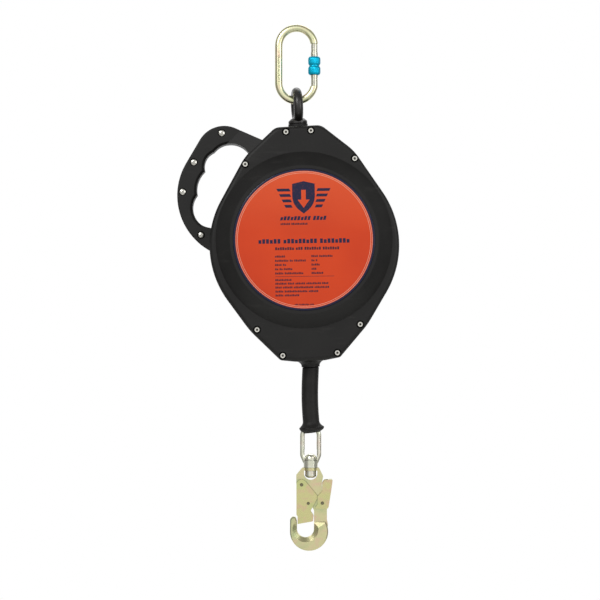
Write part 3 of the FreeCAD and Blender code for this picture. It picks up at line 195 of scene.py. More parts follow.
gate_zinc = bright_zinc("bright_zinc_turned_rod", "#d5d4c0", 0.22, 6.0)
dress(gate_zinc, "zinc_steel", "karabiner_gate")
pin_zinc = bright_zinc("bright_zinc_cold_headed", "#d9d7cd", 0.24, 1.0)
dress(pin_zinc, "bright_steel", "karabiner_pins", "karabiner_plunger_and_spring")

# ------------------------------------------------------------------ lock sleeve
# The sleeve is turned aluminium, anodised blue. It has two barrels with a waist between
# them, and a fine straight knurl for gloved fingers. It slides and turns on the gate.


def mesh_piece(name, points, faces, finish, body=None, smooth_under=35):
    """A mesh piece in the row frame, shaded smooth apart from its sharp edges."""
    mesh = bpy.data.meshes.new(name)
    mesh.from_pydata(points, [], faces)
    mesh.validate()
    made = bpy.data.objects.new(name, mesh)
    bpy.context.scene.collection.objects.link(made)
    mesh.materials.append(finish)
    mesh.shade_smooth()
    mesh.set_sharp_from_angle(angle=math.radians(smooth_under))
    if body:
        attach(made, body)
    return made


def lathe(profile, place, segments, rim=None):
    """Points and faces of a closed profile of (radius, height) turned round a line.
    place(radius, height, turn) gives the point. rim(radius, height, turn) may change the
    radius."""
    points, faces = [], []
    count = len(profile)
    for step in range(segments):
        turn = 2 * math.pi * step / segments
        for radius, height in profile:
            if rim:
                radius = rim(radius, height, turn)
            points.append(place(radius, height, turn))
    for step in range(segments):
        ahead = (step + 1) % segments
        for i in range(count):
            j = (i + 1) % count
            faces.append((step * count + i, step * count + j, ahead * count + j,
                          ahead * count + i))
    return points, faces


def arc_points(centre, radius, start, end, steps):
    """Points (a, b) along an arc, with angles in degrees."""
    made = []
    for step in range(steps + 1):
        angle = math.radians(start + (end - start) * step / steps)
        made.append((centre[0] + radius * math.cos(angle), centre[1] + radius * math.sin(angle)))
    return made


def anodised(name, colour, deep):
    """Dyed anodised aluminium: the metal's sheen under a transparent colour, with painted shade
    in the grooves."""
    made, tree, place = new_finish(name)
    haze = add(tree, "TexNoise", {"Vector": place, "Scale": per_metre(3), "Detail": 3.0})
    # Painted shade: ambient occlusion mixes the darker colour, given as deep, into the grooves.
    painted_shade_ao = add(tree, "AmbientOcclusion", {"Distance": 0.003}, samples=6)
    depth = add(tree, "MapRange", {"Value": (painted_shade_ao, "AO"), "From Min": 0.3, "From Max": 0.9})
    mixed = add(tree, "Mix", {0: depth, 6: linear(deep), 7: linear(colour)}, data_type="RGBA")
    rough = add(tree, "MapRange", {"Value": haze, "To Min": 0.26, "To Max": 0.42})
    surface(tree, Base_Color=(mixed, 2), Metallic=0.75, Roughness=rough)
    return made


low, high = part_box("karabiner_lock_sleeve")
SLEEVE_BORE = 0.0051
SLEEVE_MOUTH = 0.0062
SLEEVE_MOUTH_DEPTH = 0.0080
SLEEVE_MOUTH_CONE = 0.0012
SLEEVE_EDGE = 0.0006
SLEEVE_R = (high.x - low.x) / 2
SLEEVE_WAIST_R = SLEEVE_R - 0.0012
SLEEVE_END_R = SLEEVE_R - 0.0012
KNURL_FLUTES = 44
KNURL_DEPTH = 0.00016
sleeve_axis = (low + high) / 2
sleeve_half = (high.z - low.z) / 2
# The second colour is painted shade for the sleeve's grooves and waist.
blue = anodised("blue_anodised_aluminium", "#00b6da", "#015a72")


def barrel(foot, top):
    """Outer profile of one barrel, from foot to top: rounded shoulders and a slight crown."""
    made = []
    for step in range(13):
        share = step / 12
        edge = abs(2 * share - 1)
        drop = (SLEEVE_R - SLEEVE_END_R) * edge ** 5
        made.append((SLEEVE_R - drop, foot + (top - foot) * share))
    return made


groove = 0.0011
profile = [(SLEEVE_BORE, sleeve_half), (SLEEVE_BORE,
                                        SLEEVE_MOUTH_DEPTH + SLEEVE_MOUTH_CONE - sleeve_half)]
profile += [(SLEEVE_MOUTH, SLEEVE_MOUTH_DEPTH - sleeve_half), (SLEEVE_MOUTH, -sleeve_half)]
profile += [(SLEEVE_END_R - SLEEVE_EDGE, -sleeve_half)]
profile += barrel(-sleeve_half + SLEEVE_EDGE, -groove)
profile += [(SLEEVE_WAIST_R - 0.0003, -groove * 0.6), (SLEEVE_WAIST_R - 0.0003, groove * 0.6)]
profile += barrel(groove, sleeve_half - SLEEVE_EDGE)
profile += [(SLEEVE_END_R - SLEEVE_EDGE, sleeve_half)]


def knurl(radius, height, turn):
    if radius < SLEEVE_END_R:
        return radius
    return radius - KNURL_DEPTH * (0.5 + 0.5 * math.cos(KNURL_FLUTES * turn))


def round_gate(radius, height, turn):
    return (sleeve_axis.x + radius * math.cos(turn), radius * math.sin(turn),
            sleeve_axis.z + height)


points, faces = lathe(profile, round_gate, KNURL_FLUTES * 6, knurl)
sleeve = mesh_piece("knurled_lock_sleeve", points, faces, blue, "karabiner_sleeve", 50)
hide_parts("karabiner_lock_sleeve")

# ------------------------------------------------------------------ swivel eye
# The eye is a forged ring on a round stem, stove enamelled in gloss black. Its castle nut,
# split pin and thrust washer turn inside the casing.


def enamel(name, colour):
    """Gloss black stoving enamel over forged steel: deep black with a sharp highlight and a
    soft ripple."""
    made, tree, place = new_finish(name)
    ripple = add(tree, "TexNoise", {"Vector": place, "Scale": per_metre(5), "Detail": 2.0})
    dust = add(tree, "TexNoise", {"Vector": place, "Scale": per_metre(0.7), "Detail": 2.0})
    worn = add(tree, "MapRange", {"Value": dust, "From Min": 0.62, "From Max": 0.8, "To Max": 0.5})
    mixed = add(tree, "Mix", {0: worn, 6: linear(colour), 7: linear("#4a453f")}, data_type="RGBA")
    bump = add(tree, "Bump", {"Height": ripple, "Strength": 0.35, "Distance": 0.0006})
    surface(tree, Base_Color=(mixed, 2), Roughness=0.4, Normal=bump, Coat_Weight=0.3,
            Coat_Roughness=0.15)
    return made


dress(enamel("black_stoved_enamel", "#16130f"), "black_eye", "swivel_eye")


def machined(name, colour, roughness, pitch, centre):
    """Machined metal with rings of tool marks about an axis along Y, drawn as coarse as they
    show."""
    made, tree, place = new_finish(name)
    offset = add(tree, "Mapping", {"Vector": place, "Location": (-centre.x, 0.0, -centre.z)})
    flat = add(tree, "VectorMath", {0: offset, 1: (1.0, 0.0, 1.0)}, operation="MULTIPLY")
    radius = add(tree, "VectorMath", {0: flat}, operation="LENGTH")
    rings = add(tree, "Math", {0: (radius, "Value"), 1: 2 * math.pi * per_metre(pitch)},
                operation="MULTIPLY")
    rings = add(tree, "Math", {0: rings}, operation="SINE")
    stain = add(tree, "TexNoise", {"Vector": place, "Scale": per_metre(14), "Detail": 4.0})
    dark = add(tree, "MapRange", {"Value": stain, "From Min": 0.4, "From Max": 0.75,
                                  "To Max": 0.35})
    shade = linear("#5d5a52")
    mixed = add(tree, "Mix", {0: dark, 6: linear(colour), 7: shade}, data_type="RGBA")
    rough = add(tree, "MapRange", {"Value": stain, "To Min": roughness - 0.05,
                                   "To Max": roughness + 0.12})
    bump = add(tree, "Bump", {"Height": rings, "Strength": 0.08, "Distance": 0.0002})
    surface(tree, Base_Color=(mixed, 2), Metallic=1.0, Roughness=rough, Normal=bump)
    return made


low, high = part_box("main_shaft")
drum_centre = (low + high) / 2
turned_steel = machined("turned_carbon_steel", "#b4b2ac", 0.3, 0.8, drum_centre)
dress(turned_steel, "machined_steel", "swivel_castle_nut", "swivel_washer")
dress(pin_zinc, "bright_steel", "swivel_split_pin")

# ------------------------------------------------------------------ casing shells
# Two shells of black ABS with a built-in handle, moulded with a fine spark-eroded texture
# and clamped together at the middle. Handling leaves faint paler scuffs on them.


def moulded_abs(name, colour, scuffed):
    """Textured black ABS: nearly matt, with a broad soft sheen, mottled a little, with dry
    scuffs."""
    made, tree, place = new_finish(name)
    texture = add(tree, "TexNoise", {"Vector": place, "Scale": per_metre(0.9), "Detail": 2.0})
    mottle = add(tree, "TexNoise", {"Vector": place, "Scale": per_metre(38), "Detail": 4.0})
    slanted = add(tree, "Mapping", {"Vector": place, "Rotation": (0.0, 0.6, 0.0),
                                    "Scale": (1.0, 1.0, 7.0)})
    streak = add(tree, "TexNoise", {"Vector": slanted, "Scale": per_metre(55), "Detail": 5.0,
                                    "Roughness": 0.65})
    scuff = add(tree, "MapRange", {"Value": streak, "From Min": 0.60, "From Max": 0.78,
                                   "To Max": 0.8})
    tone = add(tree, "MapRange", {"Value": mottle, "From Min": 0.3, "From Max": 0.7,
                                  "To Max": 0.22})
    base = add(tree, "Mix", {0: tone, 6: linear(colour), 7: linear(scuffed)}, data_type="RGBA")
    mixed = add(tree, "Mix", {0: scuff, 6: (base, 2), 7: linear(scuffed)}, data_type="RGBA")
    rough = add(tree, "MapRange", {"Value": mottle, "To Min": 0.42, "To Max": 0.58})
    bump = add(tree, "Bump", {"Height": texture, "Strength": 0.35, "Distance": 0.00025})
    surface(tree, Base_Color=(mixed, 2), Roughness=rough, Normal=bump, Specular_IOR_Level=0.3)
    return made


shell_abs = moulded_abs("textured_black_abs", "#141312", "#2c2b29")
dress(shell_abs, "black_abs", "front_shell", "rear_shell")

# ------------------------------------------------------------------ labels
# Round printed labels under a clear domed resin, stuck on the faces of both shells. The
# print is generic: a shield with stripes, and short blocks where the words would be.

LABEL_TILT = math.radians(0.8)
low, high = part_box("front_label")
LABEL_R = (high.x - low.x) / 2
LABEL_THICK = high.y - low.y
RING_LINES = (0.0884, 0.0904)
RING_LINE_HALF = 0.00028
BORDER_R = 0.0912
label_centre = Vector(((low.x + high.x) / 2, low.y, (low.z + high.z) / 2))


def resin_label(name, ground, edge, line):
    """Printed film under domed polyurethane resin: saturated ink, painted lighter towards the
    top as if lit from above, behind a clear coat."""
    made, tree, place = new_finish(name)
    offset = add(tree, "Mapping", {"Vector": place,
                                   "Location": (-label_centre.x, 0.0, -label_centre.z)})
    flat = add(tree, "VectorMath", {0: offset, 1: (1.0, 0.0, 1.0)}, operation="MULTIPLY")
    radius = add(tree, "VectorMath", {0: flat}, operation="LENGTH")
    radius = (radius, "Value")
    inner = add(tree, "Math", {0: radius, 1: RING_LINES[0], 2: RING_LINE_HALF},
                operation="COMPARE")
    outer = add(tree, "Math", {0: radius, 1: RING_LINES[1], 2: RING_LINE_HALF},
                operation="COMPARE")
    lines = add(tree, "Math", {0: inner, 1: outer}, operation="MAXIMUM")
    border = add(tree, "Math", {0: radius, 1: BORDER_R}, operation="GREATER_THAN")
    cloud = add(tree, "TexNoise", {"Vector": place, "Scale": per_metre(120), "Detail": 2.0})
    fade = add(tree, "MapRange", {"Value": cloud, "From Min": 0.35, "From Max": 0.65})
    ink = add(tree, "Mix", {0: fade, 6: linear(ground[0]), 7: linear(ground[1])}, data_type="RGBA")
    # Painted light: the ink is blended towards a paler orange going up the label.
    rise = add(tree, "SeparateXYZ", {"Vector": offset})
    painted_top_light = add(tree, "MapRange", {"Value": (rise, "Z"), "From Min": 0.01, "From Max": 0.09,
                                   "To Max": 0.8})
    ink = add(tree, "Mix", {0: painted_top_light, 6: (ink, 2), 7: linear("#e4592c")}, data_type="RGBA")
    ink = add(tree, "Mix", {0: lines, 6: (ink, 2), 7: linear(line)}, data_type="RGBA")
    ink = add(tree, "Mix", {0: border, 6: (ink, 2), 7: linear(edge)}, data_type="RGBA")
    ripple = add(tree, "TexNoise", {"Vector": place, "Scale": per_metre(60), "Detail": 1.0})
    bump = add(tree, "Bump", {"Height": ripple, "Strength": 0.2, "Distance": 0.0004})
    surface(tree, Base_Color=(ink, 2), Roughness=0.35, Specular_IOR_Level=0.1, Coat_Weight=0.5,
            Coat_Roughness=0.04, Coat_Normal=bump)
    return made


def printed_ink(name, colour):
    """Screen-printed ink under the same resin: dense, with slightly uneven cover and the
    resin's gloss."""
    made, tree, place = new_finish(name)
    cover = add(tree, "TexNoise", {"Vector": place, "Scale": per_metre(2), "Detail": 3.0})
    thin = add(tree, "MapRange", {"Value": cover, "From Min": 0.5, "From Max": 0.9,
                                  "To Max": 0.35})
    mixed = add(tree, "Mix", {0: thin, 6: linear(colour), 7: linear("#8a3322")}, data_type="RGBA")
    surface(tree, Base_Color=(mixed, 2), Roughness=0.35, Specular_IOR_Level=0.1, Coat_Weight=0.5,
            Coat_Roughness=0.04)
    return made


ORANGE_PRINT = (("#d8420e", "#cc3808"), "#111636", "#eda58c")
orange_label = resin_label("orange_domed_label", *ORANGE_PRINT)
navy_ink = printed_ink("navy_screen_ink", "#12143a")
fine_ink = printed_ink("fine_dark_ink", "#2c1228")
DOME_RIM = 0.0022
LABEL_STEPS = 192


def domed_label(name, side, node):
    """The resin disc: flat back, rounded rim and a face that is a hair thicker in the middle."""
    back = label_centre.y + LABEL_THICK if side < 0 else -label_centre.y - LABEL_THICK
    profile = [(0.0, 0.0), (LABEL_R, 0.0)]
    for step in range(9):
        share = step / 8
        profile.append((LABEL_R - DOME_RIM * (1 - math.cos(share * math.pi / 2)),
                        LABEL_THICK * (0.25 + 0.75 * math.sin(share * math.pi / 2))))
    profile.append((0.0, LABEL_THICK))

    def face_of_shell(radius, height, turn):
        return (label_centre.x + radius * math.cos(turn), back + side * height,
                label_centre.z + radius * math.sin(turn))

    points, faces = lathe(profile[1:-1], face_of_shell, LABEL_STEPS)
    count = len(profile) - 2
    faces = [f for f in faces if f[1] % count != 0]
    faces.append([step * count for step in range(LABEL_STEPS)])
    faces.append([step * count + count - 1 for step in range(LABEL_STEPS)][::-1])
    if side > 0:
        faces = [tuple(reversed(f)) for f in faces]
    made = mesh_piece(name, points, faces, orange_label, "casing", 30)
    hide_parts(node)
    return made


domed_label("front_domed_label", -1, "front_label")
domed_label("rear_domed_label", 1, "rear_label")


def printed_shapes(name, outlines, finish, side, lift=0.00003):
    """Flat printed shapes just proud of a label. Outlines are in millimetres from its centre."""
    level = side * (-label_centre.y + lift)
    points, faces = [], []
    for outline in outlines:
        first = len(points)
        for x, z in outline:
            across = x * math.cos(LABEL_TILT) - z * math.sin(LABEL_TILT)
            up = x * math.sin(LABEL_TILT) + z * math.cos(LABEL_TILT)
            points.append((label_centre.x - side * across / 1000, level,
                           label_centre.z + up / 1000))
        faces.append(list(range(first, len(points))))
    made = mesh_piece(name, points, faces, finish, "casing")
    return made


def bar(left, middle, width, height, slant=0.0):
    """A printed bar, as a parallelogram."""
    lean = height * slant / 2
    half = height / 2
    return [(left - lean, middle - half), (left + width - lean, middle - half),
            (left + width + lean, middle + half), (left + lean, middle + half)]


def words(left, middle, height, lengths, slant=0.0):
    """A line of print: each word is a run of letter-sized blocks."""
    made = []
    letter = height * 0.62
    gap = height * 0.22
    for count in lengths:
        for step in range(count):
            tall = height * (1.0 if (step * 7 + count) % 3 else 0.8)
            made.append(bar(left, middle - (height - tall) / 2, letter, tall, slant))
            left += letter + gap
        left += letter * 0.8
    return made


flank = arc_points((-9.0, 58.0), 24.0, 0, -52, 8)
shield = [(-15, 74), (0, 77.5), (15, 74)] + flank
shield += [(0, 34.5)] + [(-x, z) for x, z in reversed(flank)]
stripes = []
for row in range(4):
    reach = 17.0 - 2.6 * row
    height = 66.0 - 7.2 * row
    stripes.append(bar(18.0 - 0.8 * row, height, reach, 3.8, 0.5))
    stripes.append(bar(-18.0 + 0.8 * row - reach, height, reach, 3.8, -0.5))
printed_shapes("label_emblem", [shield] + stripes, navy_ink, -1)
arrow = [(0, 42.0), (8.0, 53.0), (3.0, 53.0), (3.0, 66.0), (-3.0, 66.0), (-3.0, 53.0),
         (-8.0, 53.0)]
window_print = resin_label("orange_window_in_print", *ORANGE_PRINT)
printed_shapes("label_emblem_arrow", [arrow], window_print, -1, 0.00006)

heading = words(-31.0, 28.5, 5.4, [9, 4], 0.25)
heading += words(-60.5, -1.8, 6.0, [6, 9, 8])
printed_shapes("label_heading", heading, navy_ink, -1)
small = words(-31.0, 21.0, 2.6, [6, 10])
small += words(-38.5, -11.6, 3.8, [8, 3, 7, 7])
for middle, first, second in ((-22.0, [6], [4, 8]), (-27.6, [8, 2, 7], [2, 1]),
                              (-33.2, [4, 2], [5]),
                              (-38.8, [2, 2, 5], [3]), (-44.4, [5, 11], [7])):
    small += words(-38.9, middle, 2.7, first)
    small += words(9.3, middle, 2.7, second)
small += [bar(-38.9, -48.7, 78.0, 0.5)]
for middle, lengths in ((-53.2, [10]), (-58.0, [7, 4, 6, 9, 4]), (-63.1, [4, 6, 12, 9]),
                        (-68.4, [5, 14, 6]), (-73.6, [5, 9])):
    small += words(-38.9, middle, 2.6, lengths)
small += words(-13.6, -86.0, 2.0, [3, 8, 3])
printed_shapes("label_small_print", small, fine_ink, -1)

log_lines = [bar(-62.0, 30.0 - 9.0 * row, 124.0, 0.8) for row in range(9)]
log_lines += [bar(left, -6.0, 0.8, 72.8) for left in (-62.4, -22.0, 22.0, 61.8)]
log_lines += words(-46.0, 48.0, 6.0, [10, 11])
printed_shapes("rear_label_inspection_log", log_lines, navy_ink, 1)

# ------------------------------------------------------------------ casing fasteners
# Socket cap screws and hexagon nuts hold the shells, and button-head screws the handle.
# All are zinc plated, bright on their heads, with painted shade down in their sockets.


def plated_fastener(name, colour):
    """Bright zinc on a cold-headed screw: a keen highlight, with painted shade in the socket."""
    made, tree, place = new_finish(name)
    # Painted shade: ambient occlusion mixes near-black into sockets and recesses.
    painted_shade_ao = add(tree, "AmbientOcclusion", {"Distance": 0.003}, samples=6)
    unshaded_share = add(tree, "MapRange", {"Value": (painted_shade_ao, "AO"), "From Min": 0.35, "From Max": 0.75})
    bloom = add(tree, "TexNoise", {"Vector": place, "Scale": per_metre(1.8), "Detail": 3.0})
    mixed = add(tree, "Mix", {0: unshaded_share, 6: linear("#1a1815"), 7: linear(colour)}, data_type="RGBA")
    rough = add(tree, "MapRange", {"Value": bloom, "To Min": 0.18, "To Max": 0.4})
    surface(tree, Base_Color=(mixed, 2), Metallic=1.0, Roughness=rough)
    return made


screw_zinc = plated_fastener("bright_zinc_cap_screw", "#dddbd2")
dress(screw_zinc, "bright_steel", "case_screws", "case_nuts", "handle_screws")

# ------------------------------------------------------------------ cable guide
# The guide is a split bush of oiled black nylon in the casing's outlet.


def oiled_nylon(name, colour):
    """Oil-filled cast nylon: dark, smooth and faintly waxy."""
    made, tree, place = new_finish(name)
    wax = add(tree, "TexNoise", {"Vector": place, "Scale": per_metre(4), "Detail": 3.0})
    mixed = add(tree, "Mix", {0: wax, 6: linear(colour), 7: linear("#2c2b2d")}, data_type="RGBA")
    rough = add(tree, "MapRange", {"Value": wax, "To Min": 0.3, "To Max": 0.5})
    surface(tree, Base_Color=(mixed, 2), Roughness=rough)
    return made


dress(oiled_nylon("oil_filled_nylon", "#171719"), "nylon", "cable_guide")

# ------------------------------------------------------------------ frame
# Two laser-cut plates, their spacers and bolts carry the drum. The swivel block between
# them is milled from bar.


def cut_plate(name, colour):
    """Zinc-plated sheet: flat grey crystals of spangle, each reflecting a little differently."""
    made, tree, place = new_finish(name)
    spangle = add(tree, "TexVoronoi", {"Vector": place, "Scale": per_metre(7)})
    tone = add(tree, "SeparateColor", {"Color": (spangle, "Color")})
    mixed = add(tree, "Mix", {0: tone, 6: linear(colour), 7: linear("#c6c7c4")}, data_type="RGBA")
    rough = add(tree, "MapRange", {"Value": tone, "To Min": 0.28, "To Max": 0.48})
    surface(tree, Base_Color=(mixed, 2), Metallic=1.0, Roughness=rough)
    return made


plate_zinc = cut_plate("galvanised_sheet", "#a9aaa6")
dress(plate_zinc, "frame_steel", "front_frame_plate", "rear_frame_plate", "frame_spacers")
dress(turned_steel, "machined_steel", "swivel_block")
dress(pin_zinc, "bright_steel", "frame_bolts")

# ------------------------------------------------------------------ shaft and bushings
# The main shaft is ground steel in two flanged bronze bushings, with keys and a circlip.

dress(machined("ground_shaft_steel", "#c2c1bd", 0.2, 0.5, drum_centre), "machined_steel",
      "main_shaft", "shaft_keys")
dress(machined("sintered_bronze", "#a9773c", 0.38, 0.6, drum_centre), "bronze", "shaft_bushings")
dress(pin_zinc, "bright_steel", "shaft_circlip")

# ------------------------------------------------------------------ drum
# The hub and its two flanges are turned from cast aluminium and screwed together.


def sand_cast(name, colour):
    """Cast aluminium with a blasted skin: soft grey with shallow pits."""
    made, tree, place = new_finish(name)
    skin = add(tree, "TexNoise", {"Vector": place, "Scale": per_metre(1.2), "Detail": 4.0})
    stain = add(tree, "TexNoise", {"Vector": place, "Scale": per_metre(25), "Detail": 3.0})
    mixed = add(tree, "Mix", {0: stain, 6: linear(colour), 7: linear("#8f9092")}, data_type="RGBA")
    rough = add(tree, "MapRange", {"Value": skin, "To Min": 0.42, "To Max": 0.6})
    bump = add(tree, "Bump", {"Height": skin, "Strength": 0.3, "Distance": 0.0003})
    surface(tree, Base_Color=(mixed, 2), Metallic=1.0, Roughness=rough, Normal=bump)
    return made


cast_aluminium = sand_cast("sand_cast_aluminium", "#bdbdbe")
dress(cast_aluminium, "cast_aluminium", "drum_hub", "front_drum_flange", "rear_drum_flange")
dress(pin_zinc, "bright_steel", "drum_screws")

# ------------------------------------------------------------------ brake
# The centrifugal brake: a pawl carrier, two pawls on pins, and a ratchet ring held between
# friction linings by a pressure plate, a disc spring and a bolted cover.


def lining(name, colour):
    """Pressed friction lining: brown resin full of short fibres and brass flecks."""
    made, tree, place = new_finish(name)
    fibre = add(tree, "TexNoise", {"Vector": place, "Scale": per_metre(1.5), "Detail": 5.0,
                                   "Distortion": 1.5})
    fleck = add(tree, "TexVoronoi", {"Vector": place, "Scale": per_metre(1.1)})
    brass = add(tree, "Math", {0: (fleck, "Distance"), 1: 0.18}, operation="LESS_THAN")
    base = add(tree, "Mix", {0: fibre, 6: linear(colour), 7: linear("#5a4636")}, data_type="RGBA")
    mixed = add(tree, "Mix", {0: brass, 6: (base, 2), 7: linear("#8d6b35")}, data_type="RGBA")
    bump = add(tree, "Bump", {"Height": fibre, "Strength": 0.4, "Distance": 0.0003})
    surface(tree, Base_Color=(mixed, 2), Roughness=0.8, Normal=bump)
    return made


dress(lining("pressed_friction_lining", "#3a2a20"), "friction_lining", "brake_linings")
dress(cast_aluminium, "cast_aluminium", "brake_housing")
hardened = machined("hardened_tool_steel", "#8f8d88", 0.34, 1.0, drum_centre)
dress(hardened, "machined_steel", "pawl_a", "pawl_b", "ratchet_ring", "pawl_pins")
dress(plate_zinc, "frame_steel", "brake_pressure_plate", "brake_disc_spring", "brake_cover",
      "pawl_carrier")
dress(pin_zinc, "bright_steel", "brake_bolts", "pawl_springs")

# ------------------------------------------------------------------ power spring
# The spiral power spring is a blued steel strip in a pressed case with a screwed cover.


def blued(name, colour):
    """Tempered spring strip: blue oxide that runs to straw where the heat was less."""
    made, tree, place = new_finish(name)
    heat = add(tree, "TexNoise", {"Vector": place, "Scale": per_metre(30), "Detail": 3.0})
    band = add(tree, "MapRange", {"Value": heat, "From Min": 0.4, "From Max": 0.7})
    mixed = add(tree, "Mix", {0: band, 6: linear(colour), 7: linear("#8d7a4e")}, data_type="RGBA")
    rough = add(tree, "MapRange", {"Value": heat, "To Min": 0.2, "To Max": 0.36})
    surface(tree, Base_Color=(mixed, 2), Metallic=1.0, Roughness=rough)
    return made


dress(blued("blued_spring_strip", "#3c4a66"), "spring_steel", "power_spring")
dress(plate_zinc, "frame_steel", "spring_case", "spring_case_cover")
dress(pin_zinc, "bright_steel", "spring_case_screws")

# ------------------------------------------------------------------ lifeline
# Galvanised wire rope: six strands laid round a seventh. It comes off the drum, down
# through the guide, round the thimble and back into the ferrule.


def rope_wire(name, colour):
    """Galvanised wire rope: bright wires with painted shade between them."""
    made, tree, place = new_finish(name)
    wires = add(tree, "TexNoise", {"Vector": place, "Scale": per_metre(0.6), "Detail": 2.0})
    # Painted shade: ambient occlusion mixes dark grey in between the strands.
    painted_shade_ao = add(tree, "AmbientOcclusion", {"Distance": 0.0012}, samples=6)
    unshaded_share = add(tree, "MapRange", {"Value": (painted_shade_ao, "AO"), "From Min": 0.3, "From Max": 0.85})
    mixed = add(tree, "Mix", {0: unshaded_share, 6: linear("#3a3934"), 7: linear(colour)}, data_type="RGBA")
    rough = add(tree, "MapRange", {"Value": wires, "To Min": 0.28, "To Max": 0.5})
    bump = add(tree, "Bump", {"Height": wires, "Strength": 0.4, "Distance": 0.0002})
    surface(tree, Base_Color=(mixed, 2), Metallic=1.0, Roughness=rough, Normal=bump)
    return made


wire = rope_wire("galvanised_wire_rope", "#b9bab6")
dress(wire, "wire_rope", "wound_cable")

ROPE_R = 0.0024
LAY = 0.030
PAYOUT = 0.3
PAID_RINGS = 300
ROPE_SPACING = 0.0012
DRUM_LEAVE = Vector((0.08095, 0.0, -0.32290))
low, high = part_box("ferrule")
line_x = (low.x + high.x) / 2
ferrule_foot, ferrule_top = low.z, high.z
low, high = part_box("thimble")
LOOP_R = 0.0089
thimble_z = low.z + 0.0065
outlet_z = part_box("cable_bumper")[1].z + 0.0011


def rounded_run(corners, spacing):
    """Points along straight runs and the arcs that round their corners, from (x, y, z, radius)."""
    made = [Vector(corners[0][:3])]
    for before, here, after in zip(corners, corners[1:], corners[2:]):
        corner = Vector(here[:3])
        back = (Vector(before[:3]) - corner).normalized()
        ahead = (Vector(after[:3]) - corner).normalized()
        half = (math.pi - back.angle(ahead)) / 2
        reach = here[3] * math.tan(half)
        middle = corner + (back + ahead).normalized() * (here[3] / math.cos(half))
        start = corner + back * reach - middle
        side = (ahead - ahead.project(start)).normalized() * here[3]
        steps = max(2, math.ceil(2 * half * here[3] / spacing))
        for step in range(steps + 1):
            turn = 2 * half * step / steps
            made.append(middle + start * math.cos(turn) + side * math.sin(turn))
    made.append(Vector(corners[-1][:3]))
    run = [made[0]]
    for point in made[1:]:
        gap = (point - run[-1]).length
        if gap < 1e-6:
            continue
        last = run[-1]
        steps = math.ceil(gap / spacing)
        run += [last.lerp(point, (step + 1) / steps) for step in range(steps)]
    return run


def strand_edge(turn):
    """Radius of the rope's outline: six strands, each a third of the rope across."""
    across = (turn + math.pi / 6) % (math.pi / 3) - math.pi / 6
    inner = (1 / 3) ** 2 - (2 / 3 * math.sin(across)) ** 2
    return ROPE_R * max(0.74, 2 / 3 * math.cos(across) + math.sqrt(max(0.0, inner)))


def wire_rope(above, paid, below, around=48):
    """The rope along its run: above the outlet, the stretch that pays out, and below. The lay is
    counted along the rope as it is when fully paid out, so that it is even there."""
    points, faces = [], []
    run = above + paid + below
    depth = paid[0].z - paid[-1].z
    side = Vector((0.0, 1.0, 0.0))
    laid = 0.0
    for i, here in enumerate(run):
        along = (run[min(i + 1, len(run) - 1)] - run[max(i - 1, 0)]).normalized()
        side = (side - side.project(along)).normalized()
        third = along.cross(side)
        if i:
            gap = (here - run[i - 1]).length
            share = (paid[0].z - (here.z + run[i - 1].z) / 2) / depth
            pays_out = len(above) < i < len(above) + len(paid)
            laid += gap * (1 + PAYOUT * 6 * share * (1 - share) / depth) if pays_out else gap
        for step in range(around):
            turn = 2 * math.pi * step / around
            radius = strand_edge(turn - 2 * math.pi * laid / LAY)
            points.append(here + side * (radius * math.cos(turn))
                          + third * (radius * math.sin(turn)))
    for i in range(len(run) - 1):
        for step in range(around):
            ahead = (step + 1) % around
            faces.append((i * around + step, i * around + ahead, (i + 1) * around + ahead,
                          (i + 1) * around + step))
    faces.append(list(range(around))[::-1])
    faces.append([(len(run) - 1) * around + step for step in range(around)])
    return points, faces


rope_corners = [
    (*DRUM_LEAVE, 0.0), (line_x, 0.0, outlet_z + 0.0222, 0.030),
    (line_x, 0.0, ferrule_top + 0.009, 0.012),
    (line_x, -0.0026, ferrule_top + 0.001, 0.012), (line_x, -0.0026, ferrule_foot - 0.0015, 0.012),
    (line_x, -LOOP_R, thimble_z + 0.004, 0.012), (line_x, -LOOP_R, thimble_z - LOOP_R, LOOP_R),
    (line_x, LOOP_R, thimble_z - LOOP_R, LOOP_R), (line_x, LOOP_R, thimble_z + 0.004, 0.012),
    (line_x, 0.0026, ferrule_foot - 0.0015, 0.012), (line_x, 0.0026, ferrule_top + 0.003, 0.0),
]
stretch_top = Vector((line_x, 0.0, outlet_z + 0.0002))
stretch_foot = Vector((line_x, 0.0, ferrule_top + 0.0115))
route = rounded_run(rope_corners, ROPE_SPACING)
above = [point for point in route if point.z > stretch_top.z]
paid = [stretch_top.lerp(stretch_foot, step / PAID_RINGS) for step in range(PAID_RINGS + 1)]
below = [point for point in route if point.z < stretch_foot.z]
points, faces = wire_rope(above, paid, below)
rope = mesh_piece("lifeline_rope", points, faces, wire, None, 80)
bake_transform(rope)
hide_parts("lifeline_cable")
dress(cast_aluminium, "cast_aluminium", "ferrule")
dress(gate_zinc, "bright_steel", "thimble")

# ------------------------------------------------------------------ cable bumper
# A moulded rubber sleeve over the ferrule that stops against the casing. It has taken the
# set of the cable, so it bends a little, and its flared foot has tipped to one side.


def moulded_rubber(name, colour, dusty):
    """Black nitrile rubber: dull, with a soft grey bloom on the high places."""
    made, tree, place = new_finish(name)
    skin = add(tree, "TexNoise", {"Vector": place, "Scale": per_metre(1.0), "Detail": 3.0})
    bloom = add(tree, "TexNoise", {"Vector": place, "Scale": per_metre(14), "Detail": 4.0})
    dust = add(tree, "MapRange", {"Value": bloom, "From Min": 0.35, "From Max": 0.8,
                                  "To Max": 0.75})
    mixed = add(tree, "Mix", {0: dust, 6: linear(colour), 7: linear(dusty)}, data_type="RGBA")
    rough = add(tree, "MapRange", {"Value": bloom, "To Min": 0.45, "To Max": 0.62})
    bump = add(tree, "Bump", {"Height": skin, "Strength": 0.3, "Distance": 0.0002})
    surface(tree, Base_Color=(mixed, 2), Roughness=rough, Normal=bump, Specular_IOR_Level=0.3)
    return made


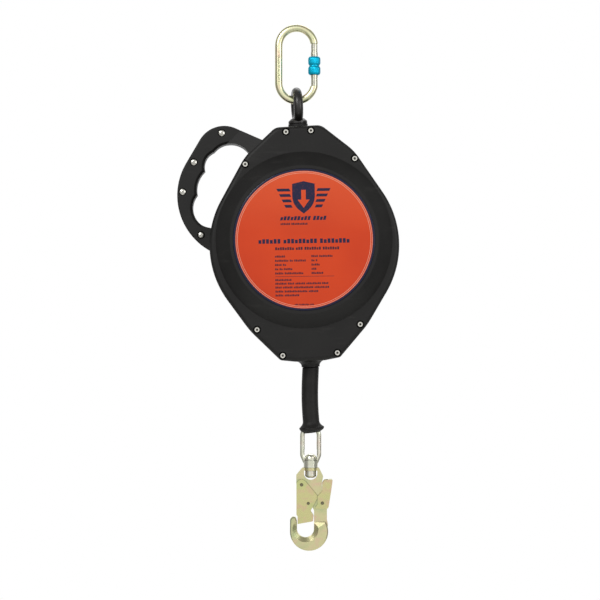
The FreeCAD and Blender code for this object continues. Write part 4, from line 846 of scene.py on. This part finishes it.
rubber = moulded_rubber("moulded_nitrile_rubber", "#121110", "#252422")
low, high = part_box("cable_bumper")
BELL_R = (high.x - low.x) / 2
BUMPER_R = BELL_R - 0.0056
BUMPER_BORE = BUMPER_R - 0.0027
BUMPER_BEND = 0.0012
BUMPER_RISE = 0.0009
CASING_LEAN = math.tan(math.radians(3.0))
BELL_TIP = math.tan(math.radians(7.0))
bumper_top = high.z
bumper_length = high.z - low.z
line_x = (low.x + high.x) / 2

profile = [(BUMPER_BORE, 0.0)]
profile += [(BUMPER_R - 0.0011, 0.0), (BUMPER_R - 0.0003, 0.0004), (BUMPER_R, 0.0012)]
profile += [(BUMPER_R, 0.003 + 0.069 * step / 24) for step in range(25)]
for step in range(1, 9):
    share = step / 8
    profile.append((BUMPER_R + (BELL_R - BUMPER_R) * share ** 2.2, 0.072 + 0.0085 * share))
profile += [(BELL_R - 0.0002, 0.0820), (BELL_R - 0.0012, 0.0838), (BELL_R - 0.0034, 0.0856)]
profile += [(BELL_R - 0.0058, 0.0868), (BUMPER_BORE + 0.0026, bumper_length)]
profile += [(BUMPER_BORE + 0.0006, bumper_length - 0.0012), (BUMPER_BORE, bumper_length - 0.004)]
profile += [(BUMPER_BORE, 0.08 - 0.08 * step / 20) for step in range(20)]


def bent_sleeve(radius, depth, turn):
    """A point of the sleeve: its axis bows to the left, its foot tips up on the right, and its
    top is drawn up square against the casing's outlet."""
    share = depth / bumper_length
    near_top = max(0.0, 1 - depth / 0.012) ** 2
    sway = -BUMPER_BEND * math.sin(math.pi * share * 1.15) + 0.0016 * share ** 4
    tip = BELL_TIP * max(0.0, (share - 0.72) / 0.28) ** 1.5
    x = radius * math.cos(turn)
    seated = near_top * (BUMPER_RISE + CASING_LEAN * x)
    return (line_x + sway + x, radius * math.sin(turn), bumper_top - depth + tip * x + seated)


points, faces = lathe(profile, bent_sleeve, 64)
bumper = mesh_piece("cable_bumper_sleeve", points, faces, rubber, "lifeline", 60)
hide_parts("cable_bumper")

# ------------------------------------------------------------------ link and hook
# An oblong welded link, a swivel bolt and a double-action snap hook, all zinc plated and
# yellow passivated. The hook is forged; its gate and lock lever are folded from sheet.

forged_zinc = passivated_zinc("yellow_passivated_zinc_forging", "#dad5a4", "#e2c6a8", "#c4cd9a",
                              0.3)
sheet_zinc = passivated_zinc("yellow_passivated_zinc_sheet", "#d8d398", "#e0bfa2", "#ccd492", 0.27)
link_zinc = passivated_zinc("pale_passivated_zinc_wire", "#ececdc", "#e9dccb", "#dde0c8", 0.22)
dress(link_zinc, "zinc_steel", "hook_link", "hook_swivel_bolt")
dress(forged_zinc, "zinc_steel", "hook_body")
dress(sheet_zinc, "zinc_steel", "hook_gate", "hook_lock_lever")
dress(plated_fastener("peened_rivet_steel", "#7d7860"), "zinc_steel", "hook_rivets",
      "hook_lock_pin")
dress(pin_zinc, "bright_steel", "hook_lever_spring", "hook_gate_spring")

# ------------------------------------------------------------------ studio
# A plain pale floor under the hanging part, soft lamps from the upper left and the right,
# and a white surround.

FLOOR_DROP = 0.60
FLOOR_R = 1.15
low, high = cad_box
target = Vector((0.0047, 0.0, -0.362))

floor = bpy.data.meshes.new("floor")
floor_points = [(FLOOR_R * math.cos(a / 32 * math.pi), FLOOR_R * math.sin(a / 32 * math.pi),
                 low.z - FLOOR_DROP)
                for a in range(64)]
floor.from_pydata(floor_points, [], [list(range(64))])
floor = bpy.data.objects.new("floor", floor)
bpy.context.scene.collection.objects.link(floor)
paint, tree, place = new_finish("pale_painted_floor")
speck = add(tree, "TexNoise", {"Vector": place, "Scale": per_metre(25), "Detail": 3.0})
pale = add(tree, "Mix", {0: speck, 6: linear("#e9e9e6"), 7: linear("#efefec")}, data_type="RGBA")
surface(tree, Base_Color=(pale, 2), Roughness=0.7)
floor.data.materials.append(paint)

world = bpy.data.worlds.new("white_surround")
bpy.context.scene.world = world
world.use_nodes = True
tree = world.node_tree
tree.nodes.clear()
ray = add(tree, "LightPath")
seen = add(tree, "Math", {0: (ray, "Is Camera Ray"), 1: (ray, "Is Transmission Ray")},
           operation="MAXIMUM")
direction = add(tree, "SeparateXYZ", {"Vector": (add(tree, "TexCoord"), "Generated")})
behind = add(tree, "MapRange", {"Value": (direction, "Y"), "From Min": 0.5, "From Max": 0.85})
front = add(tree, "MapRange", {"Value": (direction, "Y"), "From Min": -0.55, "From Max": -0.85})
above = add(tree, "MapRange", {"Value": (direction, "Z"), "From Min": -1.0, "From Max": 0.2})
front = add(tree, "Math", {0: front, 1: above}, operation="MULTIPLY")
open_side = add(tree, "Math", {0: behind, 1: front}, operation="MAXIMUM")
reflected = add(tree, "MapRange", {"Value": open_side, "To Min": 0.3, "To Max": 1.0})
lit = add(tree, "MapRange", {"Value": (direction, "Z"), "From Min": -0.7, "From Max": 0.7,
                             "To Min": 0.2, "To Max": 0.75})
shown = add(tree, "Mix", {0: (ray, "Is Glossy Ray"), 2: lit, 3: reflected})
shown = add(tree, "Mix", {0: seen, 2: (shown, 0), 3: 1.0})
background = add(tree, "Background", {"Color": (1.0, 1.0, 1.0, 1.0), "Strength": (shown, 0)})
add(tree, "OutputWorld", {"Surface": background})


def softbox(name, place, size, power):
    """A square soft lamp aimed at the middle of the part."""
    lamp = bpy.data.lights.new(name, "AREA")
    lamp.shape = "RECTANGLE"
    lamp.size, lamp.size_y = size
    lamp.energy = power
    made = bpy.data.objects.new(name, lamp)
    made.location = place
    made.rotation_euler = (target - Vector(place)).to_track_quat("-Z", "Y").to_euler()
    bpy.context.scene.collection.objects.link(made)


softbox("key_upper_left", (-1.1, -1.6, 0.9), (0.9, 0.9), 18)
softbox("fill_right", (1.5, -1.2, 0.1), (0.8, 1.4), 9)
softbox("top_back", (0.2, 1.0, 1.1), (1.2, 0.6), 5)

camera = bpy.data.cameras.new("camera")
CAMERA_DISTANCE = 3.0
FIELD = 0.81
camera.sensor_width = 36.0
camera.lens = camera.sensor_width * CAMERA_DISTANCE / FIELD
camera.clip_end = 20.0
camera_object = bpy.data.objects.new("camera", camera)
camera_object.location = target + Vector((0.0, -CAMERA_DISTANCE, 0.0))
camera_object.rotation_euler = (math.radians(90), 0.0, 0.0)
bpy.context.scene.collection.objects.link(camera_object)
bpy.context.scene.camera = camera_object
bpy.context.scene.view_settings.view_transform = "Standard"
